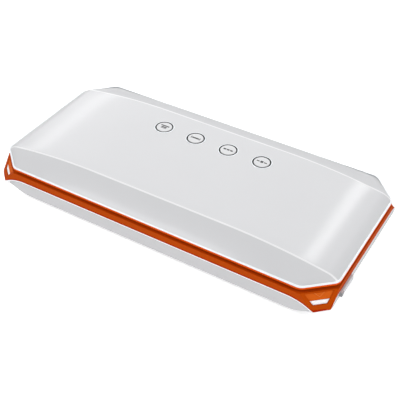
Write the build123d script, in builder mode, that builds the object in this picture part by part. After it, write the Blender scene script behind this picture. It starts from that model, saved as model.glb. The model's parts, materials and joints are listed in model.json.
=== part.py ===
"""A countertop vacuum bag sealer, built as the separate pieces it comes apart into.

Frame: +Z up, origin on the table under the middle of the machine, X along its length,
front towards -Y. The lid turns about a hinge along its rear edge. Millimetres throughout.
"""

from build123d import *
import os
from math import asin, atan2, cos, pi, radians, sin, sqrt, tan

os.makedirs("parts", exist_ok=True)

# ---------------------------------------------------------------- driving dimensions

# Lid, seen from above: a rectangle with its corners cut off. Where the front and the rear
# differ, -1 stands for the front and 1 for the rear.
LID_LENGTH = 360.0
LID_WIDTH = 174.4
LID_CUT_X = 25.6
LID_CUT_Y = {-1: 23.1, 1: 27.3}
LID_BEND_R = 10.0
# Lid, seen from the front: flat in the middle, arched down to nothing at both ends.
LID_RISE = 14.5
FLAT_HALF = 70.0
ARCH_R = 600.0
END_ROUND = 12.0
# The top is a strip between two creases, and walls fall from it to the rim.
CREASE_Y = {-1: 64.1, 1: 59.4}
RIM_EDGE = 0.8
WALL_BULGE = 0.9
LID_SKIN = 2.2

# Heights above the table.
RIM_Z = 40.0
COVER_T = 2.5
COVER_Z = RIM_Z - COVER_T
STEP_Z = RIM_Z - 3.0
FRAME_Z = RIM_Z - 5.7
DECK_Z = RIM_Z - 6.0
BAND_Z = RIM_Z - 13.0
EAR_Z = RIM_Z - 20.8
SHELL_Z = 2.5

# Frame and base, seen from above: as the lid, with much smaller corner cuts.
BASE_HALF_X = 180.6
BASE_HALF_Y = 87.8
EAR_CUT_X = 12.0
EAR_CUT_Y = {-1: 11.2, 1: 12.8}
EAR_BEND_R = 4.0
SKIN = 2.2
# The band's lower edge runs level, then dips to the ears from these distances outwards.
DIP_X = 143.0
DIP_Y = 62.1
# The base's walls lean in a little and round under; its ends round up like a boat's.
WALL_FOOT_Y = 84.1
WALL_FOOT_Z = RIM_Z - 28.5
LONG_ROUND = 9.0
END_SWEEP = 30.0
SWEEP_RUN = 26.0
CORNER_SLOPE = 38.0
BASE_LIP = 1.3
BASE_INSET = 0.5
FLOOR_Z = SHELL_Z + SKIN
POST_R = 4.0
POST_TOP = FLOOR_Z + 8.0

# Rings inside the groove between lid and base.
STEP_INSET = 3.5
STEP_T = 2.2
LEDGE_T = 2.5
LEDGE_W = 2.5

# Hinge along the rear edge.
HINGE_Y = 85.5
HINGE_Z = RIM_Z - 3.8
HINGE_X = 105.0
KNUCKLE_R = 2.3
PIN_R = 1.1
PIN_PLAY = 0.05
LID_KNUCKLE_HALF = 9.7
HINGE_HALF = 18.0
GAP = 0.3

# Vacuum channel, gaskets and heater in the deck.
DECK_T = 2.0
CHANNEL_HALF_X = 145.0
CHANNEL_FRONT = -58.0
CHANNEL_BACK = -34.0
CHANNEL_DEEP = 9.0
CHANNEL_WALL = 1.5
CHANNEL_Y = (CHANNEL_FRONT + CHANNEL_BACK) / 2
CHANNEL_W = CHANNEL_BACK - CHANNEL_FRONT
GASKET_W = 4.5
GASKET_SET = 1.0
LOWER_GASKET_TOP = DECK_Z + 1.4
UPPER_GASKET_LOW = LOWER_GASKET_TOP + GAP
GASKET_RING_X = CHANNEL_HALF_X + 5.0
GASKET_RING_Y = CHANNEL_W / 2 + 3.3
SEAL_Y = -72.0
SEAL_HALF_X = 152.0
BAR_W = 6.0

# Keys in the lid.
KEY_X = (-55.7, -18.6, 18.6, 55.7)
KEY_Y = 31.8
RING_R = 9.3
KEY_R = 7.9
KEY_TRAVEL = 0.8
LID_TOP_Z = RIM_Z + LID_RISE
LID_CEILING_Z = LID_TOP_Z - LID_SKIN
BOARD_Z = RIM_Z + 5.2
BOARD_T = 1.6
SWITCH_H = 2.2

# Latches at the two ends, worked by the release buttons.
LATCH_Y = -48.1
CATCH_X = 161.0
CATCH_T = 2.5
CATCH_W = 12.0
BARB = 2.0
CATCH_LOW = RIM_Z - 11.3
SLIDE_TOP = RIM_Z - 11.8
SLIDE_T = 2.5
SLIDE_W = 24.0
SLIDE_IN = 155.5
SLIDE_OUT = 174.0
BUTTON_OUT = 183.0
BUTTON_W = 25.0
BUTTON_TOP = BAND_Z - 0.5
BUTTON_H = 5.6

# Microswitch that feels whether the lid is closed, and the lid's peg above it.
SWITCH_X, SWITCH_Y = -150.0, 0.0
PLUNGER_TOP = DECK_Z - 1.0
PEG_LOW = PLUNGER_TOP + 0.5

# Feet and fasteners.
FOOT_R = 7.0
FOOT_X, FOOT_Y = 132.0, 58.0
FOOT_SET = 0.8
BASE_SCREWS = ((-140.0, 20.0), (-140.0, 68.0), (0.0, 68.0), (140.0, 20.0), (140.0, 68.0), (0.0, -25.0))
LID_SCREWS = ((-130.0, -12.0), (-130.0, 66.0), (0.0, 66.0), (130.0, -12.0), (130.0, 66.0), (0.0, -12.0))
BOARD_SCREWS = [(x, KEY_Y + dy) for x in (-62.0, 62.0) for dy in (-10.0, 10.0)]
LID_SCREW_R = 1.25
BASE_SCREW_R = 1.3
BOARD_SCREW_R = 0.9
BOARD_POST_R = 2.8
LID_BOSS_R = 3.5
KEY_SPOTS = [(x, KEY_Y) for x in KEY_X]

# Power inlet in the rear wall.
INLET_X = -64.0
INLET_Z = 15.5
INLET_W = 26.0
INLET_H = 14.0
INLET_DEEP = 14.0
PIN_SPACING = 8.6

CORNERS = [(sx, sy) for sx in (-1, 1) for sy in (-1, 1)]
ENDS = {"left": -1, "right": 1}
# How boxes and cylinders sit at their location.
STANDING = (Align.CENTER, Align.CENTER, Align.MIN)
HANGING = (Align.CENTER, Align.CENTER, Align.MAX)


# ---------------------------------------------------------------- shared outlines and forms


def cut_rectangle(half_x, half_y, cut_x, cut_y, inset, bend_r):
    """A rectangle with its corners cut off, moved inwards by inset, its bends rounded."""
    points = []
    for sx, sy in ((1, 1), (-1, 1), (-1, -1), (1, -1)):
        end, side = (sx * half_x, sy * (half_y - cut_y[sy])), (sx * (half_x - cut_x), sy * half_y)
        points += [end, side] if sx == sy else [side, end]
    with BuildSketch() as outline:
        with BuildLine():
            Polyline(*points, close=True)
        make_face()
        if inset:
            offset(amount=-inset, kind=Kind.INTERSECTION, mode=Mode.REPLACE)
        if bend_r:
            fillet(outline.vertices(), bend_r)
    return outline.sketch


def lid_plan(inset=0.0, bend_r=LID_BEND_R):
    """The lid's outline seen from above."""
    return cut_rectangle(LID_LENGTH / 2, LID_WIDTH / 2, LID_CUT_X, LID_CUT_Y, inset, bend_r)


def base_plan(inset=0.0, bend_r=EAR_BEND_R):
    """The outline of the frame and the base seen from above."""
    return cut_rectangle(BASE_HALF_X, BASE_HALF_Y, EAR_CUT_X, EAR_CUT_Y, inset, bend_r)


def arch_drop(x):
    """How far the lid's top has fallen at x from its middle height."""
    past = max(abs(x) - FLAT_HALF, 0.0)
    return ARCH_R - sqrt(ARCH_R**2 - past**2)


def rim_reach(y, half_x, half_y):
    """Half the length of the lid's rounded outline at y, for an outline half_x by half_y."""
    cut_y = LID_CUT_Y[1 if y > 0 else -1]
    y = abs(y)
    end_turn = atan2(LID_CUT_X, cut_y)
    side_turn = pi / 2 - end_turn
    end_y = half_y - cut_y - LID_BEND_R * tan(end_turn / 2)
    side_x = half_x - LID_CUT_X - LID_BEND_R * tan(side_turn / 2)
    side_y = half_y - LID_BEND_R
    if y <= end_y:
        return half_x
    if y <= end_y + LID_BEND_R * sin(end_turn):
        return half_x - LID_BEND_R + sqrt(LID_BEND_R**2 - (y - end_y) ** 2)
    if y <= side_y + LID_BEND_R * cos(side_turn):
        return half_x - (y - half_y + cut_y) * LID_CUT_X / cut_y
    return side_x + sqrt(max(LID_BEND_R**2 - (y - side_y) ** 2, 0.0))


def lid_form(inset, low_z):
    """The solid under the lid's top and sloping walls, from low_z up.

    It is lofted through profiles that shrink in length and height from the crease to the rim.
    """
    rise = LID_RISE - inset
    half_x = LID_LENGTH / 2 - 1.4 * inset
    rim_y = LID_WIDTH / 2 - 1.7 * inset
    arch_x = LID_LENGTH / 2 - END_ROUND
    arch_z = LID_RISE - arch_drop(arch_x)
    mid_x = (FLAT_HALF + arch_x) / 2
    foot = low_z - RIM_Z
    stations = []
    for side in (-1, 1):
        crease = CREASE_Y[side] - 0.3 * inset
        stations += [(side * (crease - 4.5), rise), (side * (crease - 2.0), rise)]
        for t in (0.0, 0.13, 0.35, 0.6, 0.8, 0.9, 0.965, 1.0):
            bulge = 4 * WALL_BULGE * t * (1 - t)
            stations.append((side * (crease + t * (rim_y - crease)), rise * (1 - t) + RIM_EDGE * t + bulge))
    stations.sort()
    with BuildPart() as form:
        for y, height in stations:
            sx = rim_reach(y, half_x, rim_y) / (LID_LENGTH / 2)
            sz = height / LID_RISE
            # x, z pairs of the right half, from the flat's end to the rim
            arch = [
                (FLAT_HALF * sx, height),
                (mid_x * sx, (LID_RISE - arch_drop(mid_x)) * sz),
                (arch_x * sx, arch_z * sz),
            ]
            tip = [
                arch[2],
                ((arch_x + 0.66 * END_ROUND) * sx, 0.56 * arch_z * sz),
                (LID_LENGTH / 2 * sx, 0.0),
            ]
            with BuildSketch(Plane(origin=(0, y, RIM_Z), x_dir=(1, 0, 0), z_dir=(0, -1, 0))):
                with BuildLine():
                    ThreePointArc(*arch)
                    ThreePointArc(*tip)
                    Polyline(tip[2], (tip[2][0], foot), (-tip[2][0], foot), (-tip[2][0], 0.0))
                    ThreePointArc(*[(-x, z) for x, z in reversed(tip)])
                    ThreePointArc(*[(-x, z) for x, z in reversed(arch)])
                    Line((-arch[0][0], height), arch[0])
                make_face()
        loft(ruled=True)
    return form.part


def dip_arc_end(start, end, drop):
    """Middle point of an arc that leaves level at start and has fallen by drop at end."""
    run = end - start
    radius = (run**2 + drop**2) / (2 * drop)
    half_turn = asin(run / radius) / 2
    return start + radius * sin(half_turn), -radius * (1 - cos(half_turn))


def band_zone(shift):
    """Everything above the orange band's lower edge, with that edge moved up by shift."""
    low = BAND_Z + shift
    drop = BAND_Z - EAR_Z
    ear_x = BASE_HALF_X - EAR_CUT_X
    ear_y = {side: BASE_HALF_Y - EAR_CUT_Y[side] for side in (-1, 1)}
    with BuildPart() as zone:
        for plane, reach, start, ends in (
            (Plane.XZ, 2 * BASE_HALF_X, DIP_X, {-1: ear_x, 1: ear_x}),
            (Plane.YZ, 2 * BASE_HALF_Y, DIP_Y, ear_y),
        ):
            with BuildSketch(plane):
                with BuildLine():
                    Line((-start, low), (start, low))
                    for side, end in ends.items():
                        mid_u, mid_w = dip_arc_end(start, end, drop)
                        ear_low = (side * end, low - drop)
                        ThreePointArc((side * start, low), (side * mid_u, low + mid_w), ear_low)
                        Polyline(ear_low, (side * reach, low - drop), (side * reach, RIM_Z), (0, RIM_Z))
                make_face()
            mode = Mode.ADD if plane == Plane.XZ else Mode.INTERSECT
            extrude(amount=2 * BASE_HALF_X, both=True, mode=mode)
    return zone.part


def ear_plane(sx, sy, sink):
    """Plane of one ear's sloping face, moved inwards by sink.

    Its Y runs up the slope and its origin is the middle of the ear's top edge.
    """
    top = Vector(sx * (BASE_HALF_X - LID_CUT_X / 2), sy * (BASE_HALF_Y - LID_CUT_Y[sy] / 2), FRAME_Z)
    low = Vector(sx * (BASE_HALF_X - EAR_CUT_X / 2), sy * (BASE_HALF_Y - EAR_CUT_Y[sy] / 2), EAR_Z)
    along = Vector(sx * LID_CUT_X, -sy * LID_CUT_Y[sy], 0).normalized() * (-sx * sy)
    normal = along.cross(top - low).normalized()
    return Plane(origin=top - normal * sink, x_dir=along, z_dir=normal)


def ear_cuts(sink):
    """The four wedges that lie outside the ears' sloping faces."""
    with BuildPart() as cuts:
        for sx, sy in CORNERS:
            with BuildSketch(ear_plane(sx, sy, sink)):
                Rectangle(90, 60)
            extrude(amount=30)
    return cuts.part


def base_form(inset, low_z):
    """The base's outer shape moved inwards by inset: rounded under, with swept-up ends."""
    top = FRAME_Z
    side, end = BASE_HALF_Y - inset, BASE_HALF_X - inset
    foot_y = WALL_FOOT_Y - inset
    long_r = WALL_FOOT_Z - low_z
    sweep_x, sweep_z = BASE_HALF_X - SWEEP_RUN, SHELL_Z + END_SWEEP
    sweep_r = sweep_z - low_z
    turn = asin((end - sweep_x) / sweep_r)
    sweep_end = (end, sweep_z - sweep_r * cos(turn))
    sweep_mid = (sweep_x + sweep_r * sin(turn / 2), sweep_z - sweep_r * cos(turn / 2))
    with BuildPart() as form:
        with BuildSketch(Plane.XY.offset(low_z)):
            add(base_plan(inset, max(EAR_BEND_R - inset, 1.0)))
        extrude(amount=top - low_z)
        with BuildSketch(Plane.YZ):
            with BuildLine():
                Polyline((0, top), (side, top), (side, BAND_Z - BASE_LIP), (foot_y, WALL_FOOT_Z))
                TangentArc((foot_y, WALL_FOOT_Z), (foot_y - long_r, low_z), tangent=(0, -1))
                Polyline((foot_y - long_r, low_z), (0, low_z), (0, top))
            make_face()
            mirror(about=Plane.YZ)
        extrude(amount=2 * BASE_HALF_X, both=True, mode=Mode.INTERSECT)
        with BuildSketch(Plane.XZ):
            with BuildLine():
                Polyline((0, top), (end, top), sweep_end)
                ThreePointArc(sweep_end, sweep_mid, (sweep_x, low_z))
                Polyline((sweep_x, low_z), (0, low_z), (0, top))
            make_face()
            mirror(about=Plane.YZ)
        extrude(amount=2 * BASE_HALF_X, both=True, mode=Mode.INTERSECT)
        for sx, sy in CORNERS:
            out = Vector(sx * EAR_CUT_Y[sy], sy * EAR_CUT_X, 0).normalized()
            edge = Vector(sx * (BASE_HALF_X - EAR_CUT_X / 2), sy * (BASE_HALF_Y - EAR_CUT_Y[sy] / 2), EAR_Z)
            edge -= out * inset + Vector(0, 0, BASE_LIP)
            slope = radians(CORNER_SLOPE)
            normal = out * sin(slope) - Vector(0, 0, cos(slope))
            with BuildSketch(Plane(origin=edge, x_dir=Vector(-out.Y, out.X, 0), z_dir=normal)):
                Rectangle(120, 80)
            extrude(amount=40, mode=Mode.SUBTRACT)
    return form.part


# Forms that several pieces share.
BAND_ZONE = band_zone(0.0)
EAR_CUTS = ear_cuts(0.0)


def gasket_outline():
    """The flat ring, round the vacuum channel, that both gaskets fill."""
    length, width = 2 * GASKET_RING_X, 2 * GASKET_RING_Y
    with BuildSketch() as ring:
        with Locations((0, CHANNEL_Y)):
            RectangleRounded(length + GASKET_W, width + GASKET_W, 5)
            RectangleRounded(length - GASKET_W, width - GASKET_W, 2, mode=Mode.SUBTRACT)
    return ring.sketch


def gasket_ring(low_z, height):
    """A gasket, or the groove for one."""
    with BuildPart() as ring:
        with BuildSketch(Plane.XY.offset(low_z)):
            add(gasket_outline())
        extrude(amount=height)
    return ring


def screws(spots, seat_z, way, head_r, head_t, shank_r, shank_length):
    """Cross-head screws. Shanks run from seat_z up (way 1) or down (way -1), heads the other way."""
    with BuildPart() as made:
        with BuildSketch(Plane.XY.offset(seat_z)):
            with Locations(*spots):
                Circle(head_r)
        extrude(amount=-way * head_t)
        with BuildSketch(Plane.XY.offset(seat_z)):
            with Locations(*spots):
                Circle(shank_r)
        extrude(amount=way * shank_length)
        with BuildSketch(Plane.XY.offset(seat_z - way * head_t)):
            with Locations(*spots):
                Rectangle(1.3 * head_r, 0.28 * head_r)
                Rectangle(0.28 * head_r, 1.3 * head_r)
        extrude(amount=way * head_t / 2, mode=Mode.SUBTRACT)
    return made


def finish(piece, name):
    """Label a finished piece and write it to its STEP file."""
    piece.part.label = name
    export_step(piece.part, f"parts/{name}.step")
    print(name, len(piece.part.solids()), round(piece.part.volume))


# ---------------------------------------------------------------- lid

# White upper shell of the lid, with bosses for its screws and holes for the keys.
with BuildPart() as lid_shell:
    add(lid_form(0.0, RIM_Z - 1))
    add(lid_form(LID_SKIN, RIM_Z - 2), mode=Mode.SUBTRACT)
    split(bisect_by=Plane.XY.offset(RIM_Z), keep=Keep.TOP)
    with BuildSketch(Plane.XY.offset(RIM_Z)):
        with Locations(*LID_SCREWS):
            Circle(LID_BOSS_R)
    extrude(until=Until.NEXT)
    with BuildSketch(Plane.XY.offset(RIM_Z)):
        with Locations(*LID_SCREWS):
            Circle(LID_SCREW_R)
    extrude(amount=6.0, mode=Mode.SUBTRACT)
    with BuildSketch(Plane.XY.offset(RIM_Z + 5)):
        with Locations(*KEY_SPOTS):
            Circle(RING_R)
    extrude(amount=LID_RISE, mode=Mode.SUBTRACT)
finish(lid_shell, "lid_shell")

# Orange lower cover: its rim is the lip seen under the shell; it carries the hinge knuckles.
PRESS_GROOVE_DEEP = 1.0
with BuildPart() as lid_lower_cover:
    with BuildSketch(Plane.XY.offset(COVER_Z)):
        add(lid_plan())
    extrude(amount=COVER_T)
    rear_edge = lid_lower_cover.edges().group_by(Axis.Z)[0].sort_by(Axis.Y)[-1]
    chamfer(rear_edge, 1.2)
    # seats for the gasket and the press strip
    with BuildSketch(Plane.XY.offset(COVER_Z)):
        add(gasket_outline())
        with Locations((0, SEAL_Y)):
            Rectangle(2 * SEAL_HALF_X, BAR_W)
    extrude(amount=PRESS_GROOVE_DEEP, mode=Mode.SUBTRACT)
    # holes for the lid screws, their heads sunk in
    with Locations(Plane.XY.offset(COVER_Z)):
        with Locations(*LID_SCREWS):
            with Locations(Rotation(180, 0, 0)):
                CounterBoreHole(1.5, 2.6, 1.3, depth=COVER_T)
    # posts for the key board
    with BuildSketch(Plane.XY.offset(RIM_Z)):
        with Locations(*BOARD_SCREWS):
            Circle(BOARD_POST_R)
    extrude(amount=BOARD_Z - RIM_Z)
    with BuildSketch(Plane.XY.offset(RIM_Z + 1)):
        with Locations(*BOARD_SCREWS):
            Circle(BOARD_SCREW_R)
    extrude(amount=BOARD_Z - RIM_Z, mode=Mode.SUBTRACT)
    # peg that presses the lid switch
    with Locations((SWITCH_X, SWITCH_Y, COVER_Z + 0.5)):
        Cylinder(1.5, COVER_Z + 0.5 - PEG_LOW, align=HANGING)
    # room for the base's knuckles, then the lid's own knuckles with their bores
    for hx in (-HINGE_X, HINGE_X):
        with Locations((hx, HINGE_Y, COVER_Z)):
            Box(
                2 * HINGE_HALF + 2 * GAP, 5.6, 2.6,
                align=(Align.CENTER, Align.CENTER, Align.CENTER), mode=Mode.SUBTRACT,
            )
        with Locations((hx, HINGE_Y - 0.3, HINGE_Z)):
            Box(2 * LID_KNUCKLE_HALF, 4.0, RIM_Z - 0.6 - HINGE_Z, align=STANDING)
        with Locations(Plane(origin=(hx, HINGE_Y, HINGE_Z), z_dir=(1, 0, 0))):
            Cylinder(KNUCKLE_R, 2 * LID_KNUCKLE_HALF)
            Cylinder(PIN_R + PIN_PLAY, 2 * LID_KNUCKLE_HALF + 1, mode=Mode.SUBTRACT)
finish(lid_lower_cover, "lid_lower_cover")

upper_gasket = gasket_ring(UPPER_GASKET_LOW, COVER_Z + PRESS_GROOVE_DEEP - UPPER_GASKET_LOW)
finish(upper_gasket, "upper_gasket")

# Silicone strip that presses the bag onto the heater.
TAPE_TOP = DECK_Z + 0.7
PRESS_CROWN = 1.0
with BuildPart() as press_strip:
    with BuildSketch(Plane.YZ.offset(-SEAL_HALF_X)):
        with BuildLine():
            front, rear = SEAL_Y - BAR_W / 2, SEAL_Y + BAR_W / 2
            low, high = TAPE_TOP + GAP, COVER_Z + PRESS_GROOVE_DEEP
            Polyline((front, low + PRESS_CROWN), (front, high), (rear, high), (rear, low + PRESS_CROWN))
            ThreePointArc((rear, low + PRESS_CROWN), (SEAL_Y, low), (front, low + PRESS_CROWN))
        make_face()
    extrude(amount=2 * SEAL_HALF_X)
finish(press_strip, "press_strip")

# Catches that hang from the lid's lower cover and snap under the latch slides.
with BuildPart() as lid_catches:
    for side in ENDS.values():
        with BuildSketch(Plane.XZ.offset(-LATCH_Y)) as hook:
            with BuildLine():
                Polyline(
                    (side * CATCH_X, COVER_Z), (side * (CATCH_X + CATCH_T), COVER_Z),
                    (side * (CATCH_X + CATCH_T), CATCH_LOW), (side * (CATCH_X + 0.6), CATCH_LOW),
                    (side * (CATCH_X - BARB), CATCH_LOW + 1.4), (side * (CATCH_X - BARB), CATCH_LOW + 2.2),
                    (side * CATCH_X, CATCH_LOW + 2.2), close=True,
                )
            make_face()
        extrude(amount=CATCH_W / 2, both=True)
    fillet(lid_catches.edges().filter_by(Axis.Z).group_by(SortBy.LENGTH)[-1], 0.4)
finish(lid_catches, "lid_catches")

# Board under the keys, on four posts.
with BuildPart() as key_board:
    with BuildSketch(Plane.XY.offset(BOARD_Z)):
        with Locations((0, KEY_Y)):
            RectangleRounded(140, 28, 2)
        with Locations(*BOARD_SCREWS):
            Circle(1.3, mode=Mode.SUBTRACT)
    extrude(amount=BOARD_T)
finish(key_board, "key_board")

board_screws = screws(BOARD_SCREWS, BOARD_Z + BOARD_T, -1, 2.2, 1.3, BOARD_SCREW_R, 5.5)
finish(board_screws, "board_screws")

SWITCH_TOP = BOARD_Z + BOARD_T + SWITCH_H
with BuildPart() as tact_switches:
    with BuildSketch(Plane.XY.offset(BOARD_Z + BOARD_T)):
        with Locations(*KEY_SPOTS):
            RectangleRounded(6, 6, 0.6)
    extrude(amount=SWITCH_H - 0.8)
    with BuildSketch(Plane.XY.offset(SWITCH_TOP - 0.8)):
        with Locations(*KEY_SPOTS):
            Circle(1.7)
    extrude(amount=0.8)
finish(tact_switches, "tact_switches")

# Dark trim rings, pressed into the shell round the keys.
with BuildPart() as key_rings:
    with BuildSketch(Plane.XY.offset(LID_CEILING_Z)):
        with Locations(*KEY_SPOTS):
            Circle(RING_R)
            Circle(KEY_R + GAP, mode=Mode.SUBTRACT)
    extrude(amount=LID_SKIN + 0.25)
    fillet(key_rings.edges().group_by(Axis.Z)[-1], 0.15)
finish(key_rings, "key_rings")

# The four keys: a crowned cap, a flange that stops it under the shell, and a stem to the switch.
KEY_NAMES = ("key_vacuum_seal", "key_seal", "key_pulse", "key_stop")
STEM_LOW = SWITCH_TOP + KEY_TRAVEL + 0.1
FLANGE_TOP = LID_CEILING_Z - GAP
for key_x, key_name in zip(KEY_X, KEY_NAMES):
    with BuildPart() as key:
        with BuildSketch(Plane.XY.offset(FLANGE_TOP - 1.0)):
            with Locations((key_x, KEY_Y)):
                Circle(RING_R + 0.6)
        extrude(amount=1.0)
        with BuildSketch(Plane.XY.offset(FLANGE_TOP)):
            with Locations((key_x, KEY_Y)):
                Circle(KEY_R)
        extrude(amount=LID_TOP_Z + 0.45 - FLANGE_TOP)
        fillet(key.edges().group_by(Axis.Z)[-1], 0.4)
        with BuildSketch(Plane.XY.offset(STEM_LOW)):
            with Locations((key_x, KEY_Y)):
                Circle(2.0)
        extrude(amount=FLANGE_TOP - STEM_LOW)
    finish(key, key_name)

# Screws that join the lower cover to the shell, from below.
lid_screws = screws(LID_SCREWS, COVER_Z + 1.2, 1, 2.5, 1.1, LID_SCREW_R, 6.5)
finish(lid_screws, "lid_screws")

# ---------------------------------------------------------------- hinge pins

with BuildPart() as hinge_pins:
    for hx in (-HINGE_X, HINGE_X):
        with Locations(Plane(origin=(hx, HINGE_Y, HINGE_Z), z_dir=(1, 0, 0))):
            Cylinder(PIN_R, 2 * HINGE_HALF)
finish(hinge_pins, "hinge_pins")

# ---------------------------------------------------------------- base: frame, shell and deck

# Slot in each ear: its edges' distances down from the ear's top edge, and its widths there.
SLOT_HIGH, SLOT_LOW = 7.6, 11.8
SLOT_TOP_W, SLOT_LOW_W = 18.0, 12.8
PANEL_SINK = 0.7
RING_LOW_Z = DECK_Z - DECK_T - LEDGE_T


def ear_shape(high, low, high_w, low_w):
    """A trapezium on an ear's face; high and low are measured down from its top edge."""
    with BuildSketch() as shape:
        with BuildLine():
            right_side = [(high_w / 2, -high), (low_w / 2, -low)]
            Polyline(*right_side, *[(-x, y) for x, y in reversed(right_side)], close=True)
        make_face()
    return shape.sketch


# Room inside the frame's band and ears, which leaves them SKIN thick.
with BuildPart() as frame_hollow:
    with BuildSketch(Plane.XY.offset(EAR_Z - 1)):
        add(base_plan(SKIN, EAR_BEND_R - SKIN))
    extrude(amount=FRAME_Z - SKIN - EAR_Z + 1)
    add(ear_cuts(SKIN), mode=Mode.SUBTRACT)

# Orange frame: the band between lid and base, with an ear at each corner.
with BuildPart() as base_frame:
    with BuildSketch(Plane.XY.offset(EAR_Z)):
        add(base_plan())
    extrude(amount=FRAME_Z - EAR_Z)
    add(BAND_ZONE, mode=Mode.INTERSECT)
    add(EAR_CUTS, mode=Mode.SUBTRACT)
    add(frame_hollow.part, mode=Mode.SUBTRACT)
    # ring inside the groove, and the ledge that the deck rests on
    with BuildSketch(Plane.XY.offset(RING_LOW_Z)):
        add(lid_plan(STEP_INSET))
    extrude(amount=STEP_Z - RING_LOW_Z)
    with BuildSketch(Plane.XY.offset(DECK_Z - DECK_T)):
        add(lid_plan(STEP_INSET + STEP_T))
    extrude(amount=20, mode=Mode.SUBTRACT)
    with BuildSketch(Plane.XY.offset(RING_LOW_Z)):
        add(lid_plan(STEP_INSET + STEP_T + LEDGE_W))
    extrude(amount=20, mode=Mode.SUBTRACT)
    # ears: a sunk panel with a raised arrow, and a slot through the face
    for sx, sy in CORNERS:
        face = ear_plane(sx, sy, 0.0)
        with BuildSketch(face):
            add(ear_shape(1.0, SLOT_LOW, 26.0, SLOT_LOW_W))
            with BuildLine():
                Polyline((-4.6, -1.2), (4.6, -1.2), (0.0, -5.2), close=True)
            make_face(mode=Mode.SUBTRACT)
        extrude(amount=-PANEL_SINK, mode=Mode.SUBTRACT)
        with BuildSketch(face):
            add(ear_shape(SLOT_HIGH, SLOT_LOW, SLOT_TOP_W, SLOT_LOW_W))
        extrude(amount=-8.0, mode=Mode.SUBTRACT)
    # knuckles at the rear, with room between them for the lid's knuckles
    for hx in (-HINGE_X, HINGE_X):
        with Locations((hx, HINGE_Y, HINGE_Z + 0.2)):
            Box(2 * LID_KNUCKLE_HALF + 2 * GAP, 6.0, 6.0, mode=Mode.SUBTRACT)
        for side in (-1, 1):
            middle = (LID_KNUCKLE_HALF + GAP + HINGE_HALF) / 2
            with Locations((hx + side * middle, HINGE_Y - 0.2, FRAME_Z - 1.0)):
                Box(
                    HINGE_HALF - LID_KNUCKLE_HALF - GAP, 3.8, HINGE_Z - FRAME_Z + 1.0,
                    align=STANDING,
                )
            with Locations(Plane(origin=(hx + side * middle, HINGE_Y, HINGE_Z), z_dir=(1, 0, 0))):
                Cylinder(KNUCKLE_R, HINGE_HALF - LID_KNUCKLE_HALF - GAP)
                Cylinder(PIN_R, HINGE_HALF, mode=Mode.SUBTRACT)
finish(base_frame, "base_frame")

TONGUE_T = 1.6
PAD_SINK = 0.9

# Room inside the frame's ears, where the base's tongues stand.
with BuildPart() as tongue_room:
    with BuildSketch(Plane.XY.offset(EAR_Z - 3.0)):
        add(base_plan(SKIN + GAP, 1.0))
    extrude(amount=RING_LOW_Z - EAR_Z + 2.0)
    add(ear_cuts(SKIN + GAP), mode=Mode.SUBTRACT)

# Tongues of the base shell, one behind each ear, with a pad that fills the ear's slot from within.
with BuildPart() as ear_tongues:
    for sx, sy in CORNERS:
        with BuildSketch(ear_plane(sx, sy, SKIN + GAP)):
            with Locations((0, -11.0)):
                Rectangle(26, 18)
        extrude(amount=-TONGUE_T)
    add(tongue_room.part, mode=Mode.INTERSECT)
    for sx, sy in CORNERS:
        with BuildSketch(ear_plane(sx, sy, PAD_SINK)):
            add(ear_shape(SLOT_HIGH + GAP, SLOT_LOW - GAP, SLOT_TOP_W - 2 * GAP, SLOT_LOW_W - 2 * GAP))
        extrude(amount=PAD_SINK - SKIN - GAP - TONGUE_T / 2)

# White base shell, with a lip under the band, screw posts, latch rests and foot recesses.
with BuildPart() as base_shell:
    add(base_form(0.0, SHELL_Z))
    add(band_zone(-BASE_LIP), mode=Mode.INTERSECT)
    add(base_form(BASE_INSET, SHELL_Z))
    add(BAND_ZONE, mode=Mode.SUBTRACT)
    add(base_form(SKIN + BASE_INSET, FLOOR_Z), mode=Mode.SUBTRACT)
    # posts that the base screws run through, and rests under the latch slides
    with BuildSketch(Plane.XY.offset(POST_TOP)):
        with Locations(*BASE_SCREWS):
            Circle(POST_R)
    extrude(amount=FLOOR_Z - 0.5 - POST_TOP)
    for rest_x, rest_w, rest_low in ((159.0, 5.0, FLOOR_Z - 0.5), (169.5, 3.0, FLOOR_Z + 4.3)):
        with BuildSketch(Plane.XY.offset(rest_low)):
            with Locations((0, LATCH_Y)):
                with GridLocations(2 * rest_x, SLIDE_W - 5.0, 2, 2):
                    Rectangle(rest_w, 2.0)
        extrude(amount=SLIDE_TOP - SLIDE_T - GAP - rest_low)
    with Locations(Plane.XY.offset(SHELL_Z)):
        with Locations(*BASE_SCREWS):
            with Locations(Rotation(180, 0, 0)):
                CounterBoreHole(1.8, 3.6, 4.0, depth=12.0)
        with Locations(*[(sx * FOOT_X, sy * FOOT_Y) for sx, sy in CORNERS]):
            with Locations(Rotation(180, 0, 0)):
                Hole(FOOT_R, depth=FOOT_SET)
    add(ear_tongues.part)
    # openings for the release buttons and the power inlet
    for side in ENDS.values():
        with Locations((side * BASE_HALF_X, LATCH_Y, BUTTON_TOP + 1.0)):
            Box(
                12, BUTTON_W + 2 * GAP, BUTTON_H + 1.0 + GAP,
                align=HANGING, mode=Mode.SUBTRACT,
            )
    with Locations((INLET_X, BASE_HALF_Y, INLET_Z)):
        Box(INLET_W, 16, INLET_H, mode=Mode.SUBTRACT)
finish(base_shell, "base_shell")

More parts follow.
